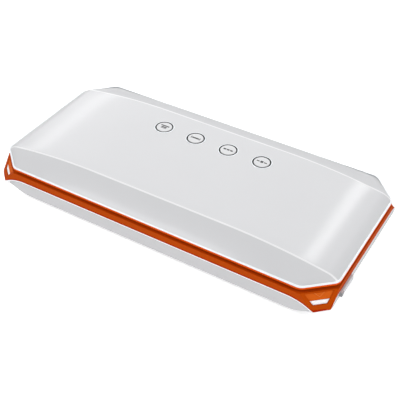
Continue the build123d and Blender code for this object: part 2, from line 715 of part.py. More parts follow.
# Deck: the plate under the lid, with the vacuum channel, heater slot and latch slots.
CHANNEL_FLOOR = DECK_Z - CHANNEL_DEEP
PORT_X = 100.0
with BuildPart() as deck:
    with BuildSketch(Plane.XY.offset(DECK_Z - DECK_T)):
        add(lid_plan(STEP_INSET + STEP_T + 0.1))
    extrude(amount=DECK_T)
    with BuildSketch(Plane.XY.offset(CHANNEL_FLOOR - CHANNEL_WALL)):
        with Locations((0, CHANNEL_Y)):
            RectangleRounded(2 * (CHANNEL_HALF_X + CHANNEL_WALL), CHANNEL_W + 2 * CHANNEL_WALL, 5)
    extrude(amount=CHANNEL_DEEP + CHANNEL_WALL - DECK_T / 2)
    with BuildSketch(Plane.XY.offset(DECK_Z - DECK_T)):
        with Locations((0, SEAL_Y)):
            Rectangle(2 * SEAL_HALF_X + 1.6, BAR_W + 3)
    extrude(amount=-5.0)
    with BuildSketch(Plane.XY.offset(CHANNEL_FLOOR)):
        with Locations((0, CHANNEL_Y)):
            RectangleRounded(2 * CHANNEL_HALF_X, CHANNEL_W, 3.5)
    extrude(amount=CHANNEL_DEEP + 1, mode=Mode.SUBTRACT)
    with BuildSketch(Plane.XY.offset(DECK_Z - 5.5)):
        with Locations((0, SEAL_Y)):
            Rectangle(2 * SEAL_HALF_X, BAR_W)
    extrude(amount=6, mode=Mode.SUBTRACT)
    add(gasket_ring(DECK_Z - GASKET_SET, GASKET_SET + 1).part, mode=Mode.SUBTRACT)
    for side in ENDS.values():
        with Locations((side * (CATCH_X + CATCH_T / 2 - BARB / 2), LATCH_Y, DECK_Z)):
            Box(CATCH_T + BARB + 3.0, CATCH_W + 4.0, 6.0, mode=Mode.SUBTRACT)
    # bosses for the base screws, port for the vacuum hose, hole for the lid switch
    with BuildSketch(Plane.XY.offset(DECK_Z - DECK_T)):
        with Locations(*BASE_SCREWS):
            Circle(3.4)
    extrude(amount=POST_TOP + 0.2 - DECK_Z + DECK_T)
    with BuildSketch(Plane.XY.offset(POST_TOP + 0.2)):
        with Locations(*BASE_SCREWS):
            Circle(BASE_SCREW_R)
    extrude(amount=12, mode=Mode.SUBTRACT)
    with BuildSketch(Plane.XY.offset(CHANNEL_FLOOR - CHANNEL_WALL)):
        with Locations((PORT_X, CHANNEL_Y)):
            Circle(2.0)
    extrude(amount=-6.0)
    with BuildSketch(Plane.XY.offset(CHANNEL_FLOOR - CHANNEL_WALL - 7)):
        with Locations((PORT_X, CHANNEL_Y)):
            Circle(1.1)
    extrude(amount=10.0, mode=Mode.SUBTRACT)
    with Locations((SWITCH_X, SWITCH_Y, DECK_Z)):
        Cylinder(2.0, 8, mode=Mode.SUBTRACT)
finish(deck, "deck")

lower_gasket = gasket_ring(DECK_Z - GASKET_SET, LOWER_GASKET_TOP - DECK_Z + GASKET_SET)
finish(lower_gasket, "lower_gasket")

# Heater: an aluminium bar in the deck's slot, the strip on it and the tape over both.
with BuildPart() as heater_bar:
    with Locations((0, SEAL_Y, DECK_Z - 5.5)):
        Box(2 * SEAL_HALF_X - 0.4, BAR_W - 0.4, 5.5, align=STANDING)
    fillet(heater_bar.edges().filter_by(Axis.X).group_by(Axis.Z)[-1], 0.5)
finish(heater_bar, "heater_bar")

with BuildPart() as heating_strip:
    with Locations((0, SEAL_Y, DECK_Z)):
        Box(2 * SEAL_HALF_X - 6, 3.0, 0.35, align=STANDING)
finish(heating_strip, "heating_strip")

with BuildPart() as heater_tape:
    with Locations((0, SEAL_Y, DECK_Z)):
        Box(2 * SEAL_HALF_X - 1, 12.0, TAPE_TOP - DECK_Z, align=STANDING)
        Box(2 * SEAL_HALF_X - 5.8, 3.2, 0.36, align=STANDING, mode=Mode.SUBTRACT)
finish(heater_tape, "heater_tape")

# ---------------------------------------------------------------- base: latches

for end_name, side in ENDS.items():
    # Slide with a window that the lid's catch drops through and a tooth that holds its barb.
    with BuildPart() as latch_slide:
        with BuildSketch(Plane.XY.offset(SLIDE_TOP - SLIDE_T)):
            with Locations((side * (SLIDE_IN + SLIDE_OUT) / 2, LATCH_Y)):
                RectangleRounded(SLIDE_OUT - SLIDE_IN, SLIDE_W, 1.5)
            with Locations((side * (CATCH_X + 2.6), LATCH_Y)):
                RectangleRounded(6.0, CATCH_W + 4.0, 0.5, mode=Mode.SUBTRACT)
        extrude(amount=SLIDE_T)
        tooth = latch_slide.edges().filter_by(Axis.Y).group_by(Axis.Z)[-1].sort_by(Axis.X)
        chamfer(tooth[1] if side > 0 else tooth[-2], 1.0)
        with Locations((side * SLIDE_IN, LATCH_Y, SLIDE_TOP)):
            Box(3.0, 6.0, 3.5, align=(Align.MIN if side > 0 else Align.MAX, Align.CENTER, Align.MAX))
    finish(latch_slide, f"latch_slide_{end_name}")

    # Button that pushes the slide inwards, with a flange that keeps it in its opening.
    with BuildPart() as release_button:
        low_z = BUTTON_TOP - BUTTON_H
        with Locations((side * SLIDE_OUT, LATCH_Y, low_z)):
            Box(
                BUTTON_OUT - SLIDE_OUT, BUTTON_W, BUTTON_H,
                align=(Align.MIN if side > 0 else Align.MAX, Align.CENTER, Align.MIN),
            )
        outer = release_button.faces().sort_by(Axis.X)[-1 if side > 0 else 0]
        fillet(outer.edges(), 1.0)
        with Locations((side * (SLIDE_OUT + 1.5), LATCH_Y, low_z - 1.5)):
            Box(
                1.8, BUTTON_W + 4.0, BUTTON_H + 1.7,
                align=(Align.MIN if side > 0 else Align.MAX, Align.CENTER, Align.MIN),
            )
        with Locations((side * SLIDE_OUT, LATCH_Y, SLIDE_TOP - SLIDE_T)):
            Box(1.5, SLIDE_W, SLIDE_T, align=(Align.MIN if side > 0 else Align.MAX, Align.CENTER, Align.MIN))
    finish(release_button, f"release_button_{end_name}")

    # Spring between the channel's end wall and the slide.
    with BuildPart() as release_spring:
        spring_low = CHANNEL_HALF_X + CHANNEL_WALL + 0.4
        spring_len = SLIDE_IN - spring_low - 0.4
        coil_r, wire_r, turns = 1.9, 0.3, 5
        seat = (side * spring_low, LATCH_Y, SLIDE_TOP - SLIDE_T / 2)
        with BuildLine() as coil:
            Helix(spring_len / turns, spring_len, coil_r, center=seat, direction=(side, 0, 0))
        with BuildSketch(Plane(origin=coil.line @ 0, z_dir=coil.line % 0)):
            Circle(wire_r)
        sweep(is_frenet=True)
    finish(release_spring, f"release_spring_{end_name}")

# ---------------------------------------------------------------- base: working parts

# Pump beside its motor, both lying along X.
PUMP_X, PUMP_Y, PUMP_Z = 60.0, 22.0, 17.5
PUMP_LENGTH, PUMP_W, PUMP_H = 39.8, 26.0, 24.0
MOTOR_R, MOTOR_LENGTH = 11.5, 36.0
MOTOR_START = PUMP_X + 20.0
with BuildPart() as pump_motor:
    with Locations(Plane(origin=(MOTOR_START, PUMP_Y, PUMP_Z), z_dir=(1, 0, 0))):
        Cylinder(MOTOR_R, MOTOR_LENGTH, align=STANDING)
    fillet(pump_motor.edges().filter_by(GeomType.CIRCLE), 1.2)
    with Locations(Plane(origin=(MOTOR_START + MOTOR_LENGTH, PUMP_Y, PUMP_Z), z_dir=(1, 0, 0))):
        Cylinder(4.0, 3, align=STANDING)
finish(pump_motor, "pump_motor")

with BuildPart() as vacuum_pump:
    with Locations((PUMP_X, PUMP_Y, PUMP_Z)):
        Box(PUMP_LENGTH, PUMP_W, PUMP_H)
    fillet(vacuum_pump.edges().filter_by(Axis.X), 4.0)
    with Locations(Plane(origin=(PUMP_X, PUMP_Y - PUMP_W / 2, PUMP_Z), x_dir=(1, 0, 0), z_dir=(0, -1, 0))):
        Cylinder(2.0, 6, align=STANDING)
finish(vacuum_pump, "vacuum_pump")

# Hose from the pump to the port under the vacuum channel.
HOSE_R, HOSE_BORE = 3.0, 2.05
hose_end_z = CHANNEL_FLOOR - CHANNEL_WALL - 0.5
with BuildPart() as vacuum_hose:
    with BuildLine() as hose_line:
        FilletPolyline(
            (PUMP_X, PUMP_Y - PUMP_W / 2 - 0.5, PUMP_Z),
            (PUMP_X, -12.0, PUMP_Z),
            (PORT_X, -24.0, PUMP_Z - 8.0),
            (PORT_X, CHANNEL_Y, 10.0),
            (PORT_X, CHANNEL_Y, hose_end_z),
            radius=6.0,
        )
    with BuildSketch(Plane(origin=hose_line.line @ 0, z_dir=hose_line.line % 0)):
        Circle(HOSE_R)
        Circle(HOSE_BORE, mode=Mode.SUBTRACT)
    sweep()
finish(vacuum_hose, "vacuum_hose")

# Transformer: laminated core with two windows, and the winding through them.
TRANS_X, TRANS_Y, TRANS_Z = -84.0, 30.0, FLOOR_Z + 13.0
CORE_LENGTH, CORE_T, CORE_H = 48.0, 22.0, 26.0
with BuildPart() as transformer_core:
    with BuildSketch(Plane.XZ.offset(-(TRANS_Y + CORE_T / 2))):
        with Locations((TRANS_X, TRANS_Z)):
            Rectangle(CORE_LENGTH, CORE_H)
            with GridLocations(26, 1, 2, 1):
                Rectangle(11, 14, mode=Mode.SUBTRACT)
    extrude(amount=CORE_T)
finish(transformer_core, "transformer_core")

with BuildPart() as transformer_coil:
    with Locations((TRANS_X, TRANS_Y, TRANS_Z)):
        Box(36.4, 36, 13.4)
    fillet(transformer_coil.edges().filter_by(Axis.Z), 1.5)
    with Locations((TRANS_X, TRANS_Y, TRANS_Z)):
        Box(15.4, CORE_T + 0.6, 15, mode=Mode.SUBTRACT)
finish(transformer_coil, "transformer_coil")

# Power board on the floor's standoffs, with its larger components.
POWER_X, POWER_Y, POWER_Z = -14.0, 30.0, FLOOR_Z + 3.0
with BuildPart() as power_board:
    with BuildSketch(Plane.XY.offset(POWER_Z)):
        with Locations((POWER_X, POWER_Y)):
            RectangleRounded(76, 52, 2)
            with GridLocations(68, 44, 2, 2):
                Circle(1.6, mode=Mode.SUBTRACT)
    extrude(amount=BOARD_T)
finish(power_board, "power_board")

with BuildPart() as board_components:
    with BuildSketch(Plane.XY.offset(POWER_Z + BOARD_T)):
        with Locations((POWER_X - 22, POWER_Y + 12)):
            Rectangle(19, 15)
    extrude(amount=14)
    with BuildSketch(Plane.XY.offset(POWER_Z + BOARD_T)):
        with Locations((POWER_X + 10, POWER_Y + 14), (POWER_X + 24, POWER_Y + 14)):
            Circle(5)
    extrude(amount=17)
    with BuildSketch(Plane.XY.offset(POWER_Z + BOARD_T)):
        with Locations((POWER_X + 8, POWER_Y - 14)):
            Rectangle(30, 8)
    extrude(amount=9)
finish(board_components, "board_components")

# Microswitch under the deck that feels whether the lid is closed.
with BuildPart() as lid_switch:
    switch_top = DECK_Z - DECK_T
    with Locations((SWITCH_X, SWITCH_Y, switch_top)):
        Box(6.0, 18.0, 9.0, align=HANGING)
        Cylinder(1.5, PLUNGER_TOP - switch_top, align=STANDING)
finish(lid_switch, "lid_switch")

# Power inlet: a socket for a two-pole lead, its pins well inside its mouth.
INLET_FACE = Plane(origin=(INLET_X, WALL_FOOT_Y + 1.6, INLET_Z), x_dir=(-1, 0, 0), z_dir=(0, 1, 0))
with BuildPart() as power_inlet:
    with Locations(INLET_FACE):
        Box(INLET_W - 0.4, INLET_H - 0.4, 20, align=HANGING)
    with BuildSketch(INLET_FACE):
        SlotOverall(18.0, 9.0)
    extrude(amount=-INLET_DEEP, mode=Mode.SUBTRACT)
    with BuildSketch(INLET_FACE.offset(-INLET_DEEP)):
        with GridLocations(PIN_SPACING, 1, 2, 1):
            Circle(1.2)
    extrude(amount=8.0)
finish(power_inlet, "power_inlet")

# ---------------------------------------------------------------- base: screws and feet

base_screws = screws(BASE_SCREWS, SHELL_Z + 4.0, 1, 3.2, 2.4, BASE_SCREW_R, 14.0)
finish(base_screws, "base_screws")

with BuildPart() as feet:
    with BuildSketch():
        with Locations(*[(sx * FOOT_X, sy * FOOT_Y) for sx, sy in CORNERS]):
            Circle(FOOT_R - 0.1)
    extrude(amount=SHELL_Z + FOOT_SET)
    fillet(feet.edges().group_by(Axis.Z)[0], 0.8)
finish(feet, "feet")
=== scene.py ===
"""Looks of a countertop vacuum bag sealer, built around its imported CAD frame.

The row's frame is kept: metres, +Z up, X along the machine, front towards -Y. Lengths that
are easier to read in millimetres are written as n * MM.
"""

import bmesh
import bpy
import json
from math import asin, atan2, cos, hypot, pi, radians, sin, sqrt, tan
from mathutils import Matrix, Vector


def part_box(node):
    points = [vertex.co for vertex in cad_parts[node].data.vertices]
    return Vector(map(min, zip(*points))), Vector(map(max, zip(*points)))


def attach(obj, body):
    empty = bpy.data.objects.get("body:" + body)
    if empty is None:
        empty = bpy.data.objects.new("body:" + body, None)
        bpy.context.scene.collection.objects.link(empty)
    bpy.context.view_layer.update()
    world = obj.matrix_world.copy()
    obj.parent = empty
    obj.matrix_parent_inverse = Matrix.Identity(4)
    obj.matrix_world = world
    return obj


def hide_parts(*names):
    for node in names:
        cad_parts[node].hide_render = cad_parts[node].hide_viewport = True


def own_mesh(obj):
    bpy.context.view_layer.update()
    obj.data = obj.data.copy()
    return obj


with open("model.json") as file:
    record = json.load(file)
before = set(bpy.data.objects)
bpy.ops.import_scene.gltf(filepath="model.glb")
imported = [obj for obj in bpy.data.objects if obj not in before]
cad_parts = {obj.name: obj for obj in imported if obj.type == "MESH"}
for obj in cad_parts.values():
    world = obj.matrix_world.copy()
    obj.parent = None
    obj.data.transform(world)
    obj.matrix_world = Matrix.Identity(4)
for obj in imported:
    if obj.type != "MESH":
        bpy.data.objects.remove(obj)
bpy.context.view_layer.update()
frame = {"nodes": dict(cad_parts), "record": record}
nodes = frame["nodes"]

MM = 0.001

# ---------------------------------------------------------------- sizes taken from the frame

SHELL_LOW, SHELL_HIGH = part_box("lid_shell")
RIM_Z = SHELL_LOW.z
LID_HALF_X, LID_HALF_Y = SHELL_HIGH.x, SHELL_HIGH.y
LID_RISE = SHELL_HIGH.z - RIM_Z

BASE_LOW, BASE_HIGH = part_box("base_shell")
BASE_HALF_X, BASE_HALF_Y = BASE_HIGH.x, BASE_HIGH.y
FLOOR_Z = BASE_LOW.z
EAR_LOW_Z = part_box("base_frame")[0].z

RING_LOW, RING_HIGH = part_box("key_rings")
KEY_NODES = ("key_vacuum_seal", "key_seal", "key_pulse", "key_stop")
KEY_SPOTS = {name: (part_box(name)[0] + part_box(name)[1]) / 2 for name in KEY_NODES}
RING_R = (RING_HIGH.y - RING_LOW.y) / 2

# Shape of the lid. Where front and rear differ, -1 stands for the front and 1 for the rear.
LID_CUTS = {-1: (25.6 * MM, 23.1 * MM), 1: (25.6 * MM, 27.3 * MM)}
LID_BEND_R = 10 * MM
FLAT_HALF = 70 * MM
ARCH_R = 600 * MM
TIP_RUN = 12 * MM
CREASE_Y = {-1: 64.1 * MM, 1: 59.4 * MM}
CREASE_ROUND = 1.3 * MM
RIM_EDGE = 0.8 * MM
WALL_BULGE = 0.9 * MM
RIM_STRIP = 3 * MM
LID_SKIN = 2.2 * MM
# How many times its thickness the skin measures level, where the ends and the walls slope.
END_SKIN, WALL_SKIN = 1.4, 1.7

# Shape of the base.
BASE_CUTS = {-1: (12 * MM, 11.2 * MM), 1: (12 * MM, 12.8 * MM)}
DIP_X, DIP_Y = 143 * MM, 62.1 * MM
BAND_LOW_Z = RIM_Z - 13 * MM
FRAME_TOP = RIM_Z - 5.7 * MM
# The four corners, by the sides of the machine that they lie on.
CORNERS = [(sx, sy) for sx in (-1, 1) for sy in (-1, 1)]

# ---------------------------------------------------------------- materials

# Most of a noise texture's values lie between these two.
NOISE_LOW, NOISE_HIGH = 0.3, 0.7
EDGE_BREAK = 0.2 * MM


class Maker:
    """Builds one node material, with short calls for the nodes that this scene uses."""

    def __init__(self, name, color, roughness, coat=0.0, coat_roughness=0.1, metallic=0.0, specular=0.5):
        self.material = bpy.data.materials.new(name)
        self.material.use_nodes = True
        self.tree = self.material.node_tree
        self.shader = self.tree.nodes["Principled BSDF"]
        self.set("Base Color", (*color, 1.0))
        self.set("Roughness", roughness)
        self.set("Coat Weight", coat)
        self.set("Coat Roughness", coat_roughness)
        self.set("Metallic", metallic)
        self.set("Specular IOR Level", specular)
        self.height = None

    def set(self, socket, value):
        self.shader.inputs[socket].default_value = value

    def node(self, kind, **sockets):
        """New node, its inputs set to values or linked to other nodes' outputs."""
        made = self.tree.nodes.new(kind)
        for name, value in sockets.items():
            socket = made.inputs[name]
            if isinstance(value, bpy.types.NodeSocket):
                self.tree.links.new(value, socket)
            else:
                socket.default_value = value
        return made

    def place(self):
        """Position on the piece, in metres, the same at rest and in every pose."""
        return self.node("ShaderNodeTexCoord").outputs["Object"]

    def noise(self, scale, detail=2.0, stretch=(1, 1, 1)):
        """Noise over the piece, finer along the axes with a larger stretch."""
        mapping = self.node("ShaderNodeMapping", Vector=self.place())
        mapping.inputs["Scale"].default_value = stretch
        made = self.node("ShaderNodeTexNoise", Vector=mapping.outputs[0], Scale=scale, Detail=detail)
        return made.outputs["Fac"]

    def mix_color(self, factor, low, high):
        """Lets the base colour run from low to high with the factor."""
        ramp = self.node("ShaderNodeValToRGB", Fac=factor)
        ends = ((NOISE_LOW, low), (NOISE_HIGH, high))
        for element, (position, color) in zip(ramp.color_ramp.elements, ends):
            element.position = position
            element.color = (*color, 1.0)
        self.tree.links.new(ramp.outputs[0], self.shader.inputs["Base Color"])
        return self

    def vary_roughness(self, factor, low, high):
        """Lets the roughness run from low to high with the factor."""
        mapped = self.node("ShaderNodeMapRange", Value=factor)
        mapped.inputs["From Min"].default_value = NOISE_LOW
        mapped.inputs["From Max"].default_value = NOISE_HIGH
        mapped.inputs["To Min"].default_value = low
        mapped.inputs["To Max"].default_value = high
        self.tree.links.new(mapped.outputs[0], self.shader.inputs["Roughness"])
        return self

    def bump(self, factor, depth, strength=1.0):
        """Adds relief of that depth in metres over any bump already there."""
        made = self.node("ShaderNodeBump", Height=factor, Strength=strength, Distance=depth)
        if self.height:
            self.tree.links.new(self.height, made.inputs["Normal"])
        self.height = made.outputs[0]
        self.tree.links.new(self.height, self.shader.inputs["Normal"])
        return self


def shade(color, factor):
    """The colour made darker or lighter by a factor."""
    return tuple(min(channel * factor, 1.0) for channel in color)


def moulded(
    name,
    color,
    roughness,
    coat=0.0,
    coat_roughness=0.08,
    specular=0.3,
    grain=0.02 * MM,
    scale=900.0,
    tone=0.03,
):
    """Moulded plastic: fine grain, slow colour drift and a patchy gloss."""
    made = Maker(name, color, roughness, coat, coat_roughness, specular=specular)
    made.mix_color(made.noise(9.0, 1.0), shade(color, 1 - tone), shade(color, 1 + tone))
    made.vary_roughness(made.noise(60.0, 3.0), roughness * 0.9, roughness * 1.12)
    made.bump(made.noise(scale, 2.0), grain)
    return made.material


def brushed(name, color, roughness, along=(1, 30, 30)):
    """Metal with fine drawn lines that run along one axis."""
    made = Maker(name, color, roughness, metallic=1.0)
    lines = made.noise(90.0, 4.0, along)
    made.mix_color(lines, shade(color, 0.85), shade(color, 1.1))
    made.vary_roughness(lines, roughness * 0.8, roughness * 1.3)
    made.bump(lines, 0.02 * MM)
    return made.material


def foam(name, color):
    """Closed-cell foam rubber with small open cells at its skin."""
    made = Maker(name, color, 0.9, specular=0.3)
    cells = made.node("ShaderNodeTexVoronoi", Vector=made.place(), Scale=1400.0).outputs["Distance"]
    made.mix_color(made.noise(500.0, 3.0), shade(color, 0.7), shade(color, 1.5))
    made.bump(cells, 0.15 * MM)
    return made.material


def coated_cloth(name, color):
    """Glass cloth coated in brown PTFE: a plain weave seen through a satin coat."""
    made = Maker(name, color, 0.42, coat=0.3, coat_roughness=0.25)
    waves = []
    for axis in ("X", "Y"):
        wave = made.node("ShaderNodeTexWave", Vector=made.place(), Scale=420.0)
        wave.bands_direction = axis
        waves.append(wave.outputs["Fac"])
    weave = made.node("ShaderNodeMath")
    weave.operation = "MULTIPLY"
    for socket, wave in zip(weave.inputs, waves):
        made.tree.links.new(wave, socket)
    made.mix_color(weave.outputs[0], shade(color, 0.75), shade(color, 1.2))
    made.bump(weave.outputs[0], 0.08 * MM)
    return made.material


def rubber(name, color, roughness=0.7):
    """Rubber or silicone: a dull skin with a fine grain and a cloudy tone."""
    made = Maker(name, color, roughness, specular=0.35)
    made.mix_color(made.noise(40.0, 3.0), shade(color, 0.85), shade(color, 1.15))
    made.bump(made.noise(1500.0, 3.0), 0.04 * MM)
    return made.material


def winding_wire(name, color):
    """Enamelled wire laid side by side round the coil."""
    made = Maker(name, color, 0.28, coat=0.6, coat_roughness=0.15, metallic=0.7)
    turns = made.node("ShaderNodeTexWave", Vector=made.place(), Scale=330.0, Distortion=0.3)
    turns.bands_direction = "Z"
    made.mix_color(turns.outputs["Fac"], shade(color, 0.5), shade(color, 1.2))
    made.bump(turns.outputs["Fac"], 0.2 * MM)
    return made.material


def flat_print(name, color):
    """Printed ink: matt, with a very slight mottle."""
    made = Maker(name, color, 0.55)
    made.mix_color(made.noise(700.0, 2.0), shade(color, 0.85), shade(color, 1.15))
    return made.material


def gloss_white(name, color):
    """The semi-gloss white of the lid and the base."""
    return moulded(
        name,
        color,
        roughness=0.45,
        coat=0.35,
        coat_roughness=0.13,
        specular=0.1,
        grain=0.002 * MM,
        scale=300.0,
        tone=0.006,
    )


def painted_highlight_white(name, color):
    """White much lighter than the shell's, for the beads and lips: a painted highlight."""
    return moulded(name, color, 0.3, coat=0.4, grain=0.004 * MM, scale=500.0, tone=0.01)


def satin_orange(name, color):
    """The satin orange of the frame and the lid's lower cover."""
    return moulded(name, color, 0.5, specular=0.02, grain=0.02 * MM, tone=0.03)


WHITE = (0.62, 0.62, 0.628)
ORANGE = (0.475, 0.061, 0.001)
MATERIALS = {
    "white_gloss": gloss_white("white_gloss", WHITE),
    "orange_plastic": satin_orange("orange_plastic", ORANGE),
    "deck_white": moulded("deck_white", (0.74, 0.74, 0.74), 0.5, grain=0.05 * MM, scale=1300.0),
    "key_white": gloss_white("key_white", (0.66, 0.66, 0.665)),
    "ring_grey": moulded("ring_grey", (0.022, 0.022, 0.023), 0.5, specular=0.05, grain=0.01 * MM),
    "button_grey": moulded("button_grey", (0.62, 0.62, 0.63), 0.45, grain=0.03 * MM),
    "gasket_rubber": foam("gasket_rubber", (0.025, 0.025, 0.027)),
    "silicone": rubber("silicone", (0.5, 0.47, 0.43), 0.45),
    "foot_rubber": rubber("foot_rubber", (0.02, 0.02, 0.02)),
    "steel": brushed("steel", (0.55, 0.55, 0.56), 0.3),
    "aluminium": brushed("aluminium", (0.72, 0.73, 0.74), 0.28, (1, 60, 60)),
    "tape": coated_cloth("tape", (0.22, 0.10, 0.035)),
    "board_green": moulded("board_green", (0.012, 0.10, 0.03), 0.35, coat=0.4, grain=0.02 * MM, tone=0.12),
    "black_plastic": moulded("black_plastic", (0.018, 0.018, 0.018), 0.45, grain=0.05 * MM, scale=1400.0),
    "winding": winding_wire("winding", (0.55, 0.22, 0.08)),
    "hose_rubber": rubber("hose_rubber", (0.52, 0.52, 0.5), 0.35),
}
# Painted highlight: a white much lighter than the shell's, for the lid's rim bead and the key bezels.
RIM_HIGHLIGHT_WHITE = painted_highlight_white("rim_painted_highlight", (0.9, 0.93, 0.95))
# Painted highlight: a lighter copy of the shell's white, for the rows along the lid's creases.
CREASE_HIGHLIGHT_WHITE = gloss_white("crease_painted_highlight", (0.8, 0.8, 0.803))
# Painted highlight on the base's lip under the band.
LIP_HIGHLIGHT_WHITE = painted_highlight_white("lip_painted_highlight", (0.96, 0.98, 0.99))
# A lit copy of the frame orange: painted light on the lid's lower cover lip.
LIT_LIP_ORANGE = satin_orange("lip_orange_painted_light", (0.72, 0.078, 0.001))
# A darker copy of the frame orange: painted shade along the band's lower edge.
BAND_EDGE_SHADE = satin_orange("edge_shade_orange", (0.40, 0.020, 0.0005))
# A lighter copy of the frame orange: painted light on the ears' sunk panels and arrows.
LIT_PANEL_ORANGE = satin_orange("panel_orange_painted_light", (0.63, 0.112, 0.009))
# Painted highlights along the edges of the ears' arrows.
ARROW_HIGHLIGHT_ORANGE = satin_orange("arrow_painted_highlight", (0.74, 0.19, 0.04))
# Much lighter than the base's white: painted light on the tongues in the ears' shaded slots.
TONGUE_LIT_WHITE = moulded("tongue_white_painted_light", (0.97, 0.97, 0.97), 0.5, grain=0.01 * MM, tone=0.005)
# A darker copy of the buttons' grey: painted shade on their front ends.
TIP_SHADE_GREY = moulded("button_tip_painted_shade", (0.30, 0.30, 0.31), 0.45, grain=0.03 * MM)
INK = flat_print("ink", (0.02, 0.02, 0.021))


def dress_frame():
    """Every CAD node gets its slot's detailed material and lightly broken edges."""
    for part in frame["record"]["subparts"]:
        piece = nodes[part["node"]]
        piece.data.materials.clear()
        piece.data.materials.append(MATERIALS[part["material_slot"]])
        weld = piece.modifiers.new("weld", "WELD")
        weld.merge_threshold = 0.001 * MM
        bevel = piece.modifiers.new("bevel", "BEVEL")
        bevel.width = EDGE_BREAK
        bevel.segments = 2
        bevel.limit_method = "ANGLE"
        bevel.angle_limit = radians(35)


# ---------------------------------------------------------------- mesh helpers


def mesh_piece(name, points, faces, material, smooth=True):
    """New mesh object, linked into the scene."""
    data = bpy.data.meshes.new(name)
    data.from_pydata([tuple(p) for p in points], [], faces)
    data.materials.append(material)
    made = bpy.data.objects.new(name, data)
    bpy.context.scene.collection.objects.link(made)
    data.polygons.foreach_set("use_smooth", [smooth] * len(data.polygons))
    return made


def tidy_normals(piece):
    """Merge points that coincide and turn every face outwards."""
    work = bmesh.new()
    work.from_mesh(piece.data)
    bmesh.ops.remove_doubles(work, verts=work.verts, dist=0.0005 * MM)
    bmesh.ops.recalc_face_normals(work, faces=work.faces)
    work.to_mesh(piece.data)
    work.free()


def grid_faces(rows, columns, first=0, flip=False, close_columns=False):
    """Quads over a grid of points stored row by row."""
    faces = []
    for i in range(rows - 1):
        for j in range(columns if close_columns else columns - 1):
            a, b = first + i * columns + j, first + i * columns + (j + 1) % columns
            quad = (a, b, b + columns, a + columns)
            faces.append(quad[::-1] if flip else quad)
    return faces


def circle_points(centre, radius, steps):
    """Points of a level circle."""
    turns = [2 * pi * k / steps for k in range(steps)]
    return [centre + Vector((radius * cos(turn), radius * sin(turn), 0)) for turn in turns]


def apply_modifiers(piece):
    """Keep the piece's mesh as its modifiers shape it."""
    graph = bpy.context.evaluated_depsgraph_get()
    done = bpy.data.meshes.new_from_object(piece.evaluated_get(graph))
    piece.modifiers.clear()
    piece.data = done


def spread(edges, steps):
    """Values through the edges, each stretch cut into its own number of steps."""
    values = [edges[0]]
    for start, end, count in zip(edges, edges[1:], steps):
        values += [start + (end - start) * (i + 1) / count for i in range(count)]
    return values


def slab(points, thickness):
    """Points and faces of a flat convex plate: its outline, and the same moved by thickness."""
    count = len(points)
    walls = [(k, (k + 1) % count, count + (k + 1) % count, count + k) for k in range(count)]
    faces = [tuple(range(count))[::-1], tuple(range(count, 2 * count))] + walls
    return list(points) + [p + thickness for p in points], faces


def joined(parts):
    """One list of points and faces out of several."""
    points, faces = [], []
    for more_points, more_faces in parts:
        faces += [tuple(k + len(points) for k in face) for face in more_faces]
        points += more_points
    return points, faces


def cutter(name, spot, radius, low, high):
    """Round body to cut with, upright over spot, from low to high."""
    bpy.ops.mesh.primitive_cylinder_add(
        vertices=96, radius=radius, depth=high - low, location=(spot.x, spot.y, (low + high) / 2)
    )
    made = bpy.context.object
    made.name = name
    return made


def cut_away(piece, cutters):
    """Cut the bodies out of the piece, then delete them."""
    for made in cutters:
        hole = piece.modifiers.new(made.name, "BOOLEAN")
        hole.object, hole.operation, hole.solver = made, "DIFFERENCE", "EXACT"
    apply_modifiers(piece)
    for made in cutters:
        bpy.data.objects.remove(made)


# ---------------------------------------------------------------- lid shell


def rim_reach(y, half_x, half_y):
    """Half the length, at y, of the lid's outline: a rectangle with cut corners and rounded bends."""
    cut_x, cut_y = LID_CUTS[1 if y > 0 else -1]
    y = abs(y)
    end_turn = atan2(cut_x, cut_y)
    side_turn = pi / 2 - end_turn
    end_y = half_y - cut_y - LID_BEND_R * tan(end_turn / 2)
    side_x = half_x - cut_x - LID_BEND_R * tan(side_turn / 2)
    side_y = half_y - LID_BEND_R
    if y <= end_y:
        return half_x
    if y <= end_y + LID_BEND_R * sin(end_turn):
        return half_x - LID_BEND_R + sqrt(LID_BEND_R**2 - (y - end_y) ** 2)
    if y <= side_y + LID_BEND_R * cos(side_turn):
        return half_x - (y - half_y + cut_y) * cut_x / cut_y
    return side_x + sqrt(max(LID_BEND_R**2 - (y - side_y) ** 2, 0.0))


def circle_through(a, b, c):
    """Centre and radius of the circle through three points given as (x, z)."""
    (ax, az), (bx, bz), (cx, cz) = a, b, c
    d = 2 * (ax * (bz - cz) + bx * (cz - az) + cx * (az - bz))
    sa, sb, sc = ax * ax + az * az, bx * bx + bz * bz, cx * cx + cz * cz
    x = (sa * (bz - cz) + sb * (cz - az) + sc * (az - bz)) / d
    z = (sa * (cx - bx) + sb * (ax - cx) + sc * (bx - ax)) / d
    return x, z, hypot(ax - x, az - z)


def arch_drop(x):
    """How far the long arch has fallen at x from its flat middle."""
    past = max(x - FLAT_HALF, 0.0)
    return ARCH_R - sqrt(ARCH_R**2 - past**2)


TIP_X = LID_HALF_X - TIP_RUN
TIP_Z = LID_RISE - arch_drop(TIP_X)
# The tip falls in one arc through its start, this point and the rim.
TIP_MIDDLE = (TIP_X + 0.66 * TIP_RUN, 0.56 * TIP_Z)
TIP_CIRCLE = circle_through((TIP_X, TIP_Z), TIP_MIDDLE, (LID_HALF_X, 0.0))


def arch_height(u):
    """Height of the lid's long arch above the rim, from 1 in the middle to 0 at its tip (u = 1)."""
    x = abs(u) * LID_HALF_X
    if x <= TIP_X:
        return (LID_RISE - arch_drop(x)) / LID_RISE
    centre_x, centre_z, radius = TIP_CIRCLE
    return max(centre_z + sqrt(max(radius**2 - (x - centre_x) ** 2, 0.0)), 0.0) / LID_RISE


